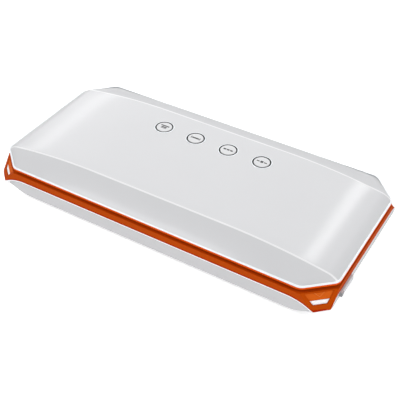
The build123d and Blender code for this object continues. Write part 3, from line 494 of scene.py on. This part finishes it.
def wall_height(y, half_y, rise):
    """Height over the rim, at y, of the middle of the lid: flat top, crease, sloping wall."""
    crease = CREASE_Y[1 if y > 0 else -1]
    past = abs(y) - crease
    run = half_y - crease
    t = min(max(past / run, 0.0), 1.0)
    height = rise * (1 - t) + RIM_EDGE * t + 4 * WALL_BULGE * t * (1 - t)
    slope = (rise - RIM_EDGE - 4 * WALL_BULGE) / run
    if abs(past) < CREASE_ROUND:
        height = rise - slope * (past + CREASE_ROUND) ** 2 / (4 * CREASE_ROUND)
    return height


def lid_rows(half_y):
    """Places across the lid of its surface's points, closest together at the creases and the rim."""
    steps = [10, 6, 16, 5]
    front, rear = (
        spread([0.0, crease - CREASE_ROUND, crease + CREASE_ROUND, half_y - RIM_STRIP, half_y], steps)
        for crease in (CREASE_Y[-1], CREASE_Y[1])
    )
    return [-y for y in reversed(front[1:])] + rear


def lid_columns():
    """Places along the lid of its surface's points, as shares of its half length."""
    tip = 1 - TIP_RUN / LID_HALF_X
    half = spread([0.0, FLAT_HALF / LID_HALF_X, tip, 1.0], [8, 24, 18])
    return [-u for u in reversed(half[1:])] + half


def lid_surface(inset):
    """Grid of points over the lid's outer form, moved inwards by inset."""
    half_x, half_y = LID_HALF_X - END_SKIN * inset, LID_HALF_Y - WALL_SKIN * inset
    rise = LID_RISE - inset
    rows, columns = lid_rows(half_y), lid_columns()
    points = []
    for y in rows:
        reach = rim_reach(y, half_x, half_y)
        height = wall_height(y, half_y, rise)
        points += [Vector((reach * u, y, RIM_Z + height * arch_height(u))) for u in columns]
    return points, len(rows), len(columns)


def border(rows, columns):
    """Indices round the edge of a grid, in order."""
    front = list(range(columns))
    right = [i * columns + columns - 1 for i in range(1, rows)]
    back = [(rows - 1) * columns + j for j in range(columns - 2, -1, -1)]
    left = [i * columns for i in range(rows - 2, 0, -1)]
    return front + right + back + left


def make_lid_shell():
    """The lid's white shell: an outer and an inner skin joined at the rim, with holes for the keys."""
    outer, rows, columns = lid_surface(0.0)
    inner, _, _ = lid_surface(LID_SKIN)
    points = outer + inner
    faces = grid_faces(rows, columns) + grid_faces(rows, columns, len(outer), flip=True)
    ring = border(rows, columns)
    # the rim's short upright edge, and the flat under it
    foot = len(points)
    points += [Vector((outer[i].x, outer[i].y, RIM_Z)) for i in ring]
    for k, (a, b) in enumerate(zip(ring, ring[1:] + ring[:1])):
        low_a, low_b = foot + k, foot + (k + 1) % len(ring)
        faces.append((a, low_a, low_b, b))
        faces.append((low_a, len(outer) + a, len(outer) + b, low_b))
    shell = mesh_piece("sealer_lid_shell", points, faces, MATERIALS["white_gloss"])
    # a lighter white painted on the rows along the creases: a painted highlight
    shell.data.materials.append(CREASE_HIGHLIGHT_WHITE)
    for polygon in list(shell.data.polygons)[: (rows - 1) * (columns - 1)]:
        y = polygon.center.y
        if abs(abs(y) - CREASE_Y[1 if y > 0 else -1]) < 0.8 * CREASE_ROUND:
            polygon.material_index = 1
    tidy_normals(shell)
    # through the skin round each key and its ring
    low, high = RIM_Z + 5 * MM, SHELL_HIGH.z + 5 * MM
    cut_away(shell, [cutter("cut_key", spot, RING_R, low, high) for spot in KEY_SPOTS.values()])
    shell.data.set_sharp_from_angle(angle=radians(38))
    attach(shell, "lid")
    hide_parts("lid_shell")


# ---------------------------------------------------------------- outlines seen from above

LEAST_BEND = 0.5 * MM


def quadrant(half_x, half_y, cut_x, cut_y, bend, inset=0.0):
    """Points of a quarter outline, from (half_x, 0) round the cut corner to (0, half_y).

    Every quadrant has the same number of points, so outlines can be joined point to point.
    """
    flat_turn = atan2(cut_x, cut_y)
    side_turn = pi / 2 - flat_turn
    half_x, half_y = half_x - inset, half_y - inset
    cut_x -= inset * (1 - tan(side_turn / 2))
    cut_y -= inset * (1 - tan(flat_turn / 2))
    bend = max(bend - inset, LEAST_BEND)
    end_y = half_y - cut_y - bend * tan(flat_turn / 2)
    side_x = half_x - cut_x - bend * tan(side_turn / 2)
    # the points of the straight runs lie closer together towards the bends
    points = [(half_x, end_y * f) for f in spread([0.0, 0.78, 1.0], [6, 12])[:-1]]
    arcs = ((half_x - bend, end_y, 0.0, flat_turn), (side_x, half_y - bend, flat_turn, pi / 2))
    for centre_x, centre_y, start, end in arcs:
        for angle in spread([start, end], [10]):
            points.append((centre_x + bend * cos(angle), centre_y + bend * sin(angle)))
    points += [(side_x * f, half_y) for f in spread([1.0, 0.82, 0.0], [14, 12])[1:]]
    return points


def outline(half_x, half_y, cuts, bend, inset=0.0):
    """Closed outline, anticlockwise. cuts holds the corner cuts at the front (-1) and the rear (1)."""
    front, rear = (quadrant(half_x, half_y, *cuts[side], bend, inset) for side in (-1, 1))
    loop = rear[:-1]
    loop += [(-x, y) for x, y in rear[:0:-1]]
    loop += [(-x, -y) for x, y in front[:-1]]
    loop += [(x, -y) for x, y in front[:0:-1]]
    return loop


# Beads along the lid's rim: how far out of the rim and above it each of their lines lies, in mm.
RIM_PROFILE = (
    (-0.3, 0.05),
    (0.2, 0.05),
    (0.35, 0.25),
    (0.35, 0.75),
    (0.15, 1.1),
    (-0.5, 1.35),
    (-1.2, 1.4),
)
COVER_LIP_PROFILE = ((-0.8, -2.1), (0.1, -2.1), (0.28, -1.9), (0.28, -0.2), (0.1, 0.0), (-0.8, 0.0))
# Near the hinge the lip is shallower, so that it clears the knuckles.
REAR_Y, REAR_DROP = 78 * MM, 1.2


def make_rim_bead(name, profile, material):
    """Bead of that profile all round the lid's rim."""
    loops = []
    for out, up in profile:
        flat = outline(LID_HALF_X, LID_HALF_Y, LID_CUTS, LID_BEND_R, -out * MM)
        ups = [max(up, -REAR_DROP) if y > REAR_Y else up for x, y in flat]
        loops += [Vector((x, y, RIM_Z + up * MM)) for (x, y), up in zip(flat, ups)]
    count = len(loops) // len(profile)
    bead = mesh_piece(name, loops, grid_faces(len(profile), count, close_columns=True), material)
    tidy_normals(bead)
    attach(bead, "lid")


# ---------------------------------------------------------------- base shell

# The lip under the band: its height, and how far it stands out of the walls.
BASE_LIP, LIP_PROUD = 1.3 * MM, 0.5 * MM
# The front and rear walls: how far they lean in by the floor, and the radius of their foot.
SIDE_FOOT, SIDE_ROUND = 3.7 * MM, 9 * MM
# The ends' upward sweep: its radius, and how far in from the ends it meets the floor.
END_ROUND, END_RUN = 30 * MM, 26 * MM
# The corners under the ears: their slope and least cut, and the radius of the bends beside them,
# which grows towards the floor.
CORNER_SLOPE, LEAST_CUT = radians(38), 11 * MM
EAR_BEND, MOST_EXTRA_BEND = 4 * MM, 10 * MM
BASE_SKIN = 2.2 * MM
# The part of the walls' height, from the floor up, where their loops lie closer together.
ROUNDED_SHARE = 0.42
# Inset and drop below the band's edge of each line of the lip, from its seam to the wall.
LIP_PROFILE = (
    (LIP_PROUD, 0.0),
    (0.1 * MM, 0.0),
    (0.0, 0.15 * MM),
    (0.0, BASE_LIP - 0.15 * MM),
    (0.15 * MM, BASE_LIP),
)
BUTTON_W, BUTTON_H, BUTTON_TOP = 25 * MM, 5.6 * MM, BAND_LOW_Z - 0.5 * MM
# How much longer and higher the openings are than what stands in them, and how deep they are cut.
# A button's opening has most of its play above the button.
BUTTON_PLAY_Y, BUTTON_PLAY_Z, BUTTON_PLAY_TOP, BUTTON_CUT = 0.6 * MM, 1.3 * MM, 1 * MM, 12 * MM
INLET_PLAY, INLET_CUT = 0.4 * MM, 16 * MM
FOOT_X, FOOT_Y, FOOT_R, FOOT_RECESS = 132 * MM, 58 * MM, 7 * MM, 0.8 * MM
SCREW_WELL_R, SCREW_WELL = 3.6 * MM, 4 * MM
CUT_MARGIN = 1 * MM
FOOT_SPOTS = [Vector((sx * FOOT_X, sy * FOOT_Y, 0)) for sx, sy in CORNERS]
SCREW_SPOTS = [
    Vector((x * MM, y * MM, 0))
    for x, y in ((-140, 20), (-140, 68), (0, 68), (140, 20), (140, 68), (0, -25))
]


def dip(u, start, end, drop):
    """How far the band's lower edge has dipped at u, by an arc that starts level at start."""
    run = end - start
    radius = (run**2 + drop**2) / (2 * drop)
    past = min(max(u - start, 0.0), run)
    return radius - sqrt(radius**2 - past**2)


def band_edge(x, y):
    """Height of the orange band's lower edge over a point of the outline."""
    cut_x, cut_y = BASE_CUTS[1 if y > 0 else -1]
    drop = BAND_LOW_Z - EAR_LOW_Z
    along = dip(abs(x), DIP_X, BASE_HALF_X - cut_x, drop)
    across = dip(abs(y), DIP_Y, BASE_HALF_Y - cut_y, drop)
    return BAND_LOW_Z - min(along, across)


def corner_cut(cut, half_x, half_y, inset, under):
    """Depths of a corner's cut in an outline of that size, on the slope that starts under the ear."""
    cut_x, cut_y = cut
    length = hypot(cut_x, cut_y)
    nx, ny = cut_y / length, cut_x / length
    reach = nx * (BASE_HALF_X - cut_x / 2) + ny * (BASE_HALF_Y - cut_y / 2)
    reach -= inset + under / tan(CORNER_SLOPE)
    depths = (half_x - (reach - ny * half_y) / nx, half_y - (reach - nx * half_x) / ny)
    return tuple(max(depth, LEAST_CUT) for depth in depths)


def base_outline(z, inset):
    """The base's outline at height z: walls that lean in and round under, ends that sweep up."""
    side, end = BASE_HALF_Y - inset, BASE_HALF_X - inset
    wall_top = BAND_LOW_Z - BASE_LIP
    round_z = FLOOR_Z + SIDE_ROUND
    lean = min(max((wall_top - z) / (wall_top - round_z), 0.0), 1.0)
    half_y = side - (SIDE_FOOT - LIP_PROUD) * lean
    if z < round_z:
        half_y += sqrt(SIDE_ROUND**2 - (round_z - z) ** 2) - SIDE_ROUND
    sweep = sqrt(max(END_ROUND**2 - (FLOOR_Z + END_ROUND - z) ** 2, 0.0))
    half_x = min(end, BASE_HALF_X - END_RUN + sweep)
    under = max(EAR_LOW_Z - BASE_LIP - z, 0.0)
    cuts = {at: corner_cut(cut, half_x, half_y, inset, under) for at, cut in BASE_CUTS.items()}
    bend = EAR_BEND + min(under, MOST_EXTRA_BEND)
    return outline(half_x, half_y, cuts, bend)


def wall_loops(edge, floor_z, inset):
    """Loops of one skin of the base from under its lip down to floor_z."""
    shares = spread([1.0, ROUNDED_SHARE], [10])
    shares += [ROUNDED_SHARE * (1 - sin(angle)) for angle in spread([0.0, pi / 2], [14])[1:]]
    thickness = floor_z - FLOOR_Z
    loops = []
    for share in shares:
        heights = [floor_z + (top - BASE_LIP - floor_z) * share for top in edge]
        rings = {z: base_outline(max(z - thickness, FLOOR_Z), inset) for z in set(heights)}
        loops.append([Vector((*rings[z][k], z)) for k, z in enumerate(heights)])
    return loops


def base_cutters():
    """Bodies that cut the openings for the buttons and the inlet, and the recesses under the floor."""
    made = []
    for name in ("release_button_left", "release_button_right", "power_inlet"):
        low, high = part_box(name)
        side = 1 if high.x > 0 else -1
        if name == "power_inlet":
            size = Vector((high.x - low.x + INLET_PLAY, INLET_CUT, high.z - low.z + INLET_PLAY))
            middle = Vector(((low.x + high.x) / 2, BASE_HALF_Y, (low.z + high.z) / 2))
        else:
            size = Vector((BUTTON_CUT, BUTTON_W + BUTTON_PLAY_Y, BUTTON_H + BUTTON_PLAY_Z))
            middle_z = BUTTON_TOP + BUTTON_PLAY_TOP - size.z / 2
            middle = Vector((side * BASE_HALF_X, (low.y + high.y) / 2, middle_z))
        bpy.ops.mesh.primitive_cube_add(size=1, location=middle)
        bpy.context.object.scale = size
        made.append(bpy.context.object)
    feet = ("cut_foot", FOOT_SPOTS, FOOT_R, FOOT_RECESS)
    screws = ("cut_screw", SCREW_SPOTS, SCREW_WELL_R, SCREW_WELL)
    for name, spots, radius, depth in (feet, screws):
        made += [cutter(name, spot, radius, FLOOR_Z - CUT_MARGIN, FLOOR_Z + depth) for spot in spots]
    return made


def make_base_shell():
    """The white base: an outer and an inner skin joined under the band, with its openings cut."""
    top = base_outline(BAND_LOW_Z, 0.0)
    edge = [band_edge(x, y) for x, y in top]
    count = len(top)
    lip = []
    for inset, drop in LIP_PROFILE:
        flat = base_outline(BAND_LOW_Z, inset)
        lip.append([Vector((x, y, z - drop)) for (x, y), z in zip(flat, edge)])
    outer = lip + wall_loops(edge, FLOOR_Z, LIP_PROUD)
    rim = [Vector((x, y, z)) for (x, y), z in zip(base_outline(BAND_LOW_Z, LIP_PROUD + BASE_SKIN), edge)]
    inner = [rim] + wall_loops(edge, FLOOR_Z + BASE_SKIN, LIP_PROUD + BASE_SKIN)
    points = [p for loop in outer + inner for p in loop]
    split = len(outer) * count
    faces = grid_faces(len(outer), count, close_columns=True)
    faces += grid_faces(len(inner), count, split, flip=True, close_columns=True)
    faces += [(k, (k + 1) % count, split + (k + 1) % count, split + k) for k in range(count)]
    faces.append(tuple(range(split - count, split)))
    faces.append(tuple(range(len(points) - count, len(points)))[::-1])
    shell = mesh_piece("sealer_base_shell", points, faces, MATERIALS["white_gloss"])
    # the lip's faces in a much lighter white: a painted highlight under the band
    shell.data.materials.append(LIP_HIGHLIGHT_WHITE)
    for polygon in list(shell.data.polygons)[: (len(LIP_PROFILE) - 1) * count]:
        polygon.material_index = 1
    tidy_normals(shell)
    cut_away(shell, base_cutters())
    shell.data.set_sharp_from_angle(angle=radians(32))
    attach(shell, "base")
    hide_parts("base_shell")


# ---------------------------------------------------------------- small detail


def ear_frame(sx, sy):
    """Middle of an ear's top edge, then its directions along, up the slope and out of its face."""
    (lid_x, lid_y), (cut_x, cut_y) = LID_CUTS[sy], BASE_CUTS[sy]
    top = Vector((sx * (BASE_HALF_X - lid_x / 2), sy * (BASE_HALF_Y - lid_y / 2), FRAME_TOP))
    low = Vector((sx * (BASE_HALF_X - cut_x / 2), sy * (BASE_HALF_Y - cut_y / 2), EAR_LOW_Z))
    along = Vector((sx * lid_x, -sy * lid_y, 0)).normalized() * (-sx * sy)
    normal = along.cross(top - low).normalized()
    return top, along, normal.cross(along), normal


def trapezium(high, high_half, low, low_half):
    """Outline with level edges at two heights, each with its own half width."""
    return ((-high_half, high), (-low_half, low), (low_half, low), (high_half, high))


def ear_plate(ear, shape, depth, thickness):
    """Plate on or in an ear, its back at that depth under the ear's face."""
    top, along, up, out = ear
    flat = [top + (along * x + up * y - out * depth) * MM for x, y in shape]
    return slab(flat, out * (thickness * MM))


# What the ears carry. Each has an outline, in millimetres along an ear's face and up from its top
# edge, then the depth of its back under the face, and its thickness.
# The plate behind each ear, and the pad on it that fills the ear's slot.
TONGUE_PLATES = (
    (trapezium(-7, 11, -18.5, 8.5), 4.1, 1.6),
    (trapezium(-7.9, 8.7, -11.5, 6.1), 3.3, 2.4),
)
# The skins of the sunk panel and the arrow in it, lighter orange as painted light, and the two lines along
# the arrow's sides, painted highlights.
PANEL = (trapezium(-1.15, 12.85, -7.5, 8.95), 0.76, 0.12)
ARROW = (((-4.5, -1.3), (0, -5.1), (4.5, -1.3)), 0.06, 0.1)
ARROW_HIGHLIGHT_LINES = (
    (((-4.6, -1.2), (0, -5.2), (0, -4.65), (-3.95, -1.2)), 0.06, 0.16),
    (((0, -5.2), (4.6, -1.2), (3.95, -1.2), (0, -4.65)), 0.06, 0.16),
)


def make_ear_tongues():
    """White plates standing up from the base that close the ears' slots; their lighter white is painted
    light.
    """
    parts = [ear_plate(ear_frame(*corner), *plate) for corner in CORNERS for plate in TONGUE_PLATES]
    tongues = mesh_piece("ear_tongues", *joined(parts), TONGUE_LIT_WHITE, smooth=False)
    tidy_normals(tongues)
    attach(tongues, "base")


def make_ear_panels():
    """Lighter skin on the ears' sunk panels and arrows as painted light, and painted highlights along the
    arrows' edges.
    """
    kinds = (("ear_panels", (PANEL, ARROW), LIT_PANEL_ORANGE), ("ear_arrow_highlights", ARROW_HIGHLIGHT_LINES, ARROW_HIGHLIGHT_ORANGE))
    for name, plates, material in kinds:
        parts = [ear_plate(ear_frame(*corner), *plate) for corner in CORNERS for plate in plates]
        made = mesh_piece(name, *joined(parts), material, smooth=False)
        tidy_normals(made)
        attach(made, "base")


def ear_outline(z, out):
    """The frame's outline at height z, where the ears' slopes cut its corners."""
    share = (z - EAR_LOW_Z) / (FRAME_TOP - EAR_LOW_Z)
    cuts = {
        side: tuple(low + (high - low) * share for low, high in zip(BASE_CUTS[side], LID_CUTS[side]))
        for side in (-1, 1)
    }
    return outline(BASE_HALF_X, BASE_HALF_Y, cuts, EAR_BEND, -out)


# How far out of the band's face and above its lower edge each line of the strip of painted shade lies, in
# mm.
EDGE_SHADE_PROFILE = ((-0.4, 0.02), (0.06, 0.02), (0.06, 1.25), (-0.4, 1.25))


def make_band_edge_shade():
    """Dark line along the orange band's lower edge: painted shade, in a darker copy of its orange."""
    loops = []
    for out, rise in EDGE_SHADE_PROFILE:
        heights = [EAR_LOW_Z] * len(ear_outline(EAR_LOW_Z, 0))
        # an ear's face moves out as it falls, so places and heights are found in a few rounds
        for _ in range(4):
            rings = {z: ear_outline(z, out * MM) for z in set(heights)}
            spots = [rings[z][k] for k, z in enumerate(heights)]
            heights = [band_edge(x, y) + rise * MM for x, y in spots]
        loops += [Vector((x, y, z)) for (x, y), z in zip(spots, heights)]
    count = len(loops) // len(EDGE_SHADE_PROFILE)
    faces = grid_faces(len(EDGE_SHADE_PROFILE), count, close_columns=True)
    edge_shade = mesh_piece("band_edge_shade", loops, faces, BAND_EDGE_SHADE)
    tidy_normals(edge_shade)
    edge_shade.data.set_sharp_from_angle(angle=radians(40))
    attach(edge_shade, "base")


SPRING_TURNS = 5
SPRING_WIRE_R = 0.3 * MM


def make_release_springs():
    """Coils between the channel's ends and the latch slides."""
    steps, sides = 28 * SPRING_TURNS, 10
    for end in ("left", "right"):
        name = "release_spring_" + end
        low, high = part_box(name)
        middle = (low + high) / 2
        fixed, free = sorted((low.x, high.x), key=abs)
        length = abs(free - fixed) - 2 * SPRING_WIRE_R
        side = 1 if free > 0 else -1
        coil_r = (high.z - low.z) / 2 - SPRING_WIRE_R
        points = []
        for i in range(steps + 1):
            turn = 2 * pi * SPRING_TURNS * i / steps
            radial = Vector((0, cos(turn), sin(turn)))
            x = fixed + side * (SPRING_WIRE_R + length * i / steps)
            centre = Vector((x, middle.y, middle.z)) + radial * coil_r
            for k in range(sides):
                angle = 2 * pi * k / sides
                points.append(centre + SPRING_WIRE_R * (radial * cos(angle) + Vector((sin(angle), 0, 0))))
        faces = grid_faces(steps + 1, sides, close_columns=True)
        faces += [tuple(range(sides)), tuple(range(len(points) - sides, len(points)))]
        spring = mesh_piece(name + "_coil", points, faces, MATERIALS["steel"])
        tidy_normals(spring)
        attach(spring, "base")
        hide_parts(name)
        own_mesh(spring)


PRINT_DEPTH = 0.03 * MM
# Blocks of each key's printed sign, in millimetres from its middle: x, y, width, height.
KEY_SIGNS = {
    "key_vacuum_seal": ((0, 1.9, 9.4, 1.5), (0, -0.5, 6.2, 1.5), (0, -2.2, 6.2, 0.7)),
    "key_seal": ((0, 0, 7.4, 1.9), (-4.7, 0, 0.9, 3.2), (4.7, 0, 0.9, 3.2)),
    "key_pulse": ((-3.7, 0, 2.9, 1.9), (0, 0, 2.9, 1.9), (3.7, 0, 2.9, 1.9)),
    "key_stop": ((0, 0, 2.9, 2.9), (-3.9, 0, 3.0, 1.3), (3.9, 0, 3.0, 1.3)),
}


def make_key_signs():
    """Printed sign on each key."""
    for name, blocks in KEY_SIGNS.items():
        spot = KEY_SPOTS[name]
        middle = Vector((spot.x, spot.y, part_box(name)[1].z))
        parts = []
        for x, y, width, height in blocks:
            flat = [
                middle + Vector((x + side_x * width / 2, y + side_y * height / 2, 0)) * MM
                for side_x, side_y in ((-1, -1), (1, -1), (1, 1), (-1, 1))
            ]
            parts.append(slab(flat, Vector((0, 0, PRINT_DEPTH))))
        sign = mesh_piece(name + "_sign", *joined(parts), INK, smooth=False)
        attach(sign, name + "_body")


# How far out of the trim ring and above the lid's top each line of a key's bezel lies, in mm.
BEZEL_PROFILE = ((0.0, 0.0), (0.0, 0.3), (0.35, 0.36), (0.7, 0.2), (0.9, 0.0))


def make_key_bezels():
    """Fine white bead round each of the dark trim rings, in the lighter white of a painted highlight."""
    steps = 96
    points, faces = [], []
    for spot in KEY_SPOTS.values():
        first = len(points)
        for out, rise in BEZEL_PROFILE:
            centre = Vector((spot.x, spot.y, SHELL_HIGH.z + rise * MM))
            points += circle_points(centre, RING_R + out * MM, steps)
        faces += grid_faces(len(BEZEL_PROFILE), steps, first, close_columns=True)
    bezels = mesh_piece("key_bezels", points, faces, RIM_HIGHLIGHT_WHITE)
    tidy_normals(bezels)
    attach(bezels, "lid")


CAP_LENGTH, CAP_DEPTH = 3.2 * MM, 3.6 * MM
CAP_INSET, CAP_PROUD = 0.3 * MM, 0.05 * MM


def make_button_tips():
    """Darker grey cap on the front end of each release button: painted shade on that end."""
    for end in ("left", "right"):
        low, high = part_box("release_button_" + end)
        side = 1 if high.x > 0 else -1
        back_x = side * (max(abs(low.x), abs(high.x)) - CAP_DEPTH)
        front_y = (low.y + high.y) / 2 - BUTTON_W / 2
        y0, y1 = front_y - CAP_PROUD, front_y + CAP_LENGTH
        z0, z1 = BUTTON_TOP - BUTTON_H + CAP_INSET, BUTTON_TOP - CAP_INSET
        flat = [Vector((back_x, y, z)) for y, z in ((y0, z0), (y1, z0), (y1, z1), (y0, z1))]
        depth = Vector((side * (CAP_DEPTH + CAP_PROUD), 0, 0))
        tip = mesh_piece("button_tip_" + end, *slab(flat, depth), TIP_SHADE_GREY, smooth=False)
        tidy_normals(tip)
        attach(tip, "release_" + end)


# ---------------------------------------------------------------- stage, light and camera

STAGE_REACH = 5.0
BACKDROP_LOW, BACKDROP_HIGH = -0.05, 8.0
MOTTLE = 0.005
# How far from the lid its lights stand.
REAR_AWAY, FRONT_AWAY, BAND_AWAY = 1.75, 1.5, 1.6


def paper(name, tone, roughness, specular, noise_scale, glow):
    """White paper with a slight mottle that shines a little of its own light."""
    made = Maker(name, (tone, tone, tone), roughness, specular=specular)
    low, high = tone - MOTTLE, tone + MOTTLE
    made.mix_color(made.noise(noise_scale, 1.0), (low, low, low), (high, high, high))
    made.set("Emission Color", (1, 1, 1, 1))
    made.set("Emission Strength", glow)
    return made


def make_floor():
    """The white ground, which glows enough to lose most of the machine's shadow."""
    made = paper("floor_paper", tone=0.85, roughness=0.8, specular=0.2, noise_scale=3.0, glow=0.42)
    made.bump(made.noise(400.0, 3.0), 0.02 * MM)
    corners = [(x * STAGE_REACH, y * STAGE_REACH, 0) for x, y in ((-1, -1), (1, -1), (1, 1), (-1, 1))]
    floor = mesh_piece("floor", corners, [(0, 1, 2, 3)], made.material)
    # gloss shows the studio, not the floor, so the walls that lean away stay grey
    floor.visible_glossy = False


def make_backdrop():
    """Bright paper all round, far behind the lights. It is only seen, and lights nothing."""
    steps = 96
    made = paper("backdrop_paper", tone=0.9, roughness=0.9, specular=0.0, noise_scale=2.0, glow=1.0)
    points = []
    for z in (BACKDROP_LOW, BACKDROP_HIGH):
        points += circle_points(Vector((0, 0, z)), STAGE_REACH, steps)
    backdrop = mesh_piece("backdrop", points, grid_faces(2, steps, close_columns=True), made.material)
    backdrop.visible_diffuse = backdrop.visible_glossy = backdrop.visible_shadow = False


def mirrored_from(point, normal, distance):
    """Where a light has to be for the camera to see it mirrored at point."""
    view = (bpy.context.scene.camera.matrix_world.translation - point).normalized()
    normal = normal.normalized()
    return point + (2 * normal.dot(view) * normal - view) * distance


def placed(place, right, up, back):
    """World matrix of an object at place with its axes along three directions."""
    return Matrix.Translation(place) @ Matrix((right, up, back)).transposed().to_4x4()


def soft_box(name, centre, along, width, height, radiance):
    """Soft box of a given radiance, aimed at the lid, its width laid along a direction."""
    data = bpy.data.lights.new(name, "AREA")
    data.shape = "RECTANGLE"
    data.size, data.size_y = width, height
    data.energy = radiance * pi * width * height
    made = bpy.data.objects.new(name, data)
    bpy.context.scene.collection.objects.link(made)
    back = (centre - Vector((0, 0, RIM_Z))).normalized()
    side = (along - along.dot(back) * back).normalized()
    made.matrix_world = placed(centre, side, back.cross(side), back)


def lid_spot(x, y):
    """A point of the lid's top and the normal there."""
    tilt = asin(max(abs(x) - FLAT_HALF, 0.0) / ARCH_R) * (1 if x > 0 else -1)
    return Vector((x, y, RIM_Z + LID_RISE - arch_drop(abs(x)))), Vector((sin(tilt), 0, cos(tilt)))


def band_light(name, x, width, radiance):
    """Strip light whose reflection is a soft band across the lid at x, past both creases."""
    front, rear = (mirrored_from(*lid_spot(x, y), BAND_AWAY) for y in (-CREASE_Y[-1], CREASE_Y[1]))
    across = rear - front
    soft_box(name, (front + rear) / 2, across, 2.2 * across.length, width, radiance)


def light_scene():
    """Even studio light, and soft boxes where the lid mirrors them to the camera."""
    world = bpy.data.worlds.new("studio")
    bpy.context.scene.world = world
    world.use_nodes = True
    background = world.node_tree.nodes["Background"]
    background.inputs["Color"].default_value = (0.97, 0.98, 1.0, 1.0)
    background.inputs["Strength"].default_value = 0.5
    # a long soft box behind the machine, which the lid's top mirrors between its tips
    left, right = (mirrored_from(*lid_spot(x, 0.0), REAR_AWAY) for x in (-167 * MM, 158 * MM))
    across = right - left
    soft_box("rear_box", (left + right) / 2, across, across.length, height=0.9, radiance=2.2)
    # two overhead in front, which the lid's front wall mirrors: a broad one in its lower half, and a
    # narrow one along its rim
    wall = Vector((0, -LID_HALF_Y, RIM_Z + 2 * MM))
    for name, slope, height, radiance in (("front_box", 33.5, 0.5, 1.0), ("rim_box", 36.5, 0.24, 8.0)):
        facing = Vector((0, -sin(radians(slope)), cos(radians(slope))))
        place = mirrored_from(wall, facing, FRONT_AWAY)
        soft_box(name, place, Vector((1, 0, 0)), width=1.05, height=height, radiance=radiance)
    band_light("band_right", 150 * MM, width=0.07, radiance=13.0)
    band_light("band_left", -147 * MM, width=0.10, radiance=4.2)
    # a soft one to the right, for the surfaces that face that way
    place = Vector((1.5, -0.1, 1.05))
    soft_box("side_box", place, Vector((0, 1, 0)), width=0.9, height=0.9, radiance=3.6)
    bpy.context.scene.view_settings.view_transform = "Standard"


# The photograph's point of view, found by fitting a pinhole camera to the object's corners.
VIEW_TARGET = Vector((25.30 * MM, -32.85 * MM, RIM_Z))
VIEW_AZIMUTH = radians(30.42)
VIEW_ELEVATION = radians(40.09)
VIEW_ROLL = radians(0.77)
VIEW_DISTANCE = 758.35 * MM
SENSOR_WIDTH = 36.0
FOCAL_LENGTH = 72.97


def make_camera():
    """Camera at that point of view, rolled a little about its own axis."""
    data = bpy.data.cameras.new("camera")
    data.sensor_width, data.lens = SENSOR_WIDTH, FOCAL_LENGTH
    data.clip_start, data.clip_end = 0.05, 20
    camera = bpy.data.objects.new("camera", data)
    bpy.context.scene.collection.objects.link(camera)
    bpy.context.scene.camera = camera
    a, e, roll = VIEW_AZIMUTH, VIEW_ELEVATION, VIEW_ROLL
    back = Vector((sin(a) * cos(e), -cos(a) * cos(e), sin(e)))
    right = Vector((cos(a), sin(a), 0.0))
    up = back.cross(right)
    across, over = cos(roll) * right + sin(roll) * up, cos(roll) * up - sin(roll) * right
    camera.matrix_world = placed(VIEW_TARGET + back * VIEW_DISTANCE, across, over, back)


make_camera()
make_floor()
make_backdrop()
light_scene()
dress_frame()
make_lid_shell()
# the white rim bead is a painted highlight
make_rim_bead("lid_rim_bead", RIM_PROFILE, RIM_HIGHLIGHT_WHITE)
# the orange lip under it is a lit copy of the frame orange: painted light
make_rim_bead("lid_cover_lip", COVER_LIP_PROFILE, LIT_LIP_ORANGE)
make_base_shell()
make_band_edge_shade()
make_ear_tongues()
make_ear_panels()
make_key_signs()
make_key_bezels()
make_button_tips()
make_release_springs()
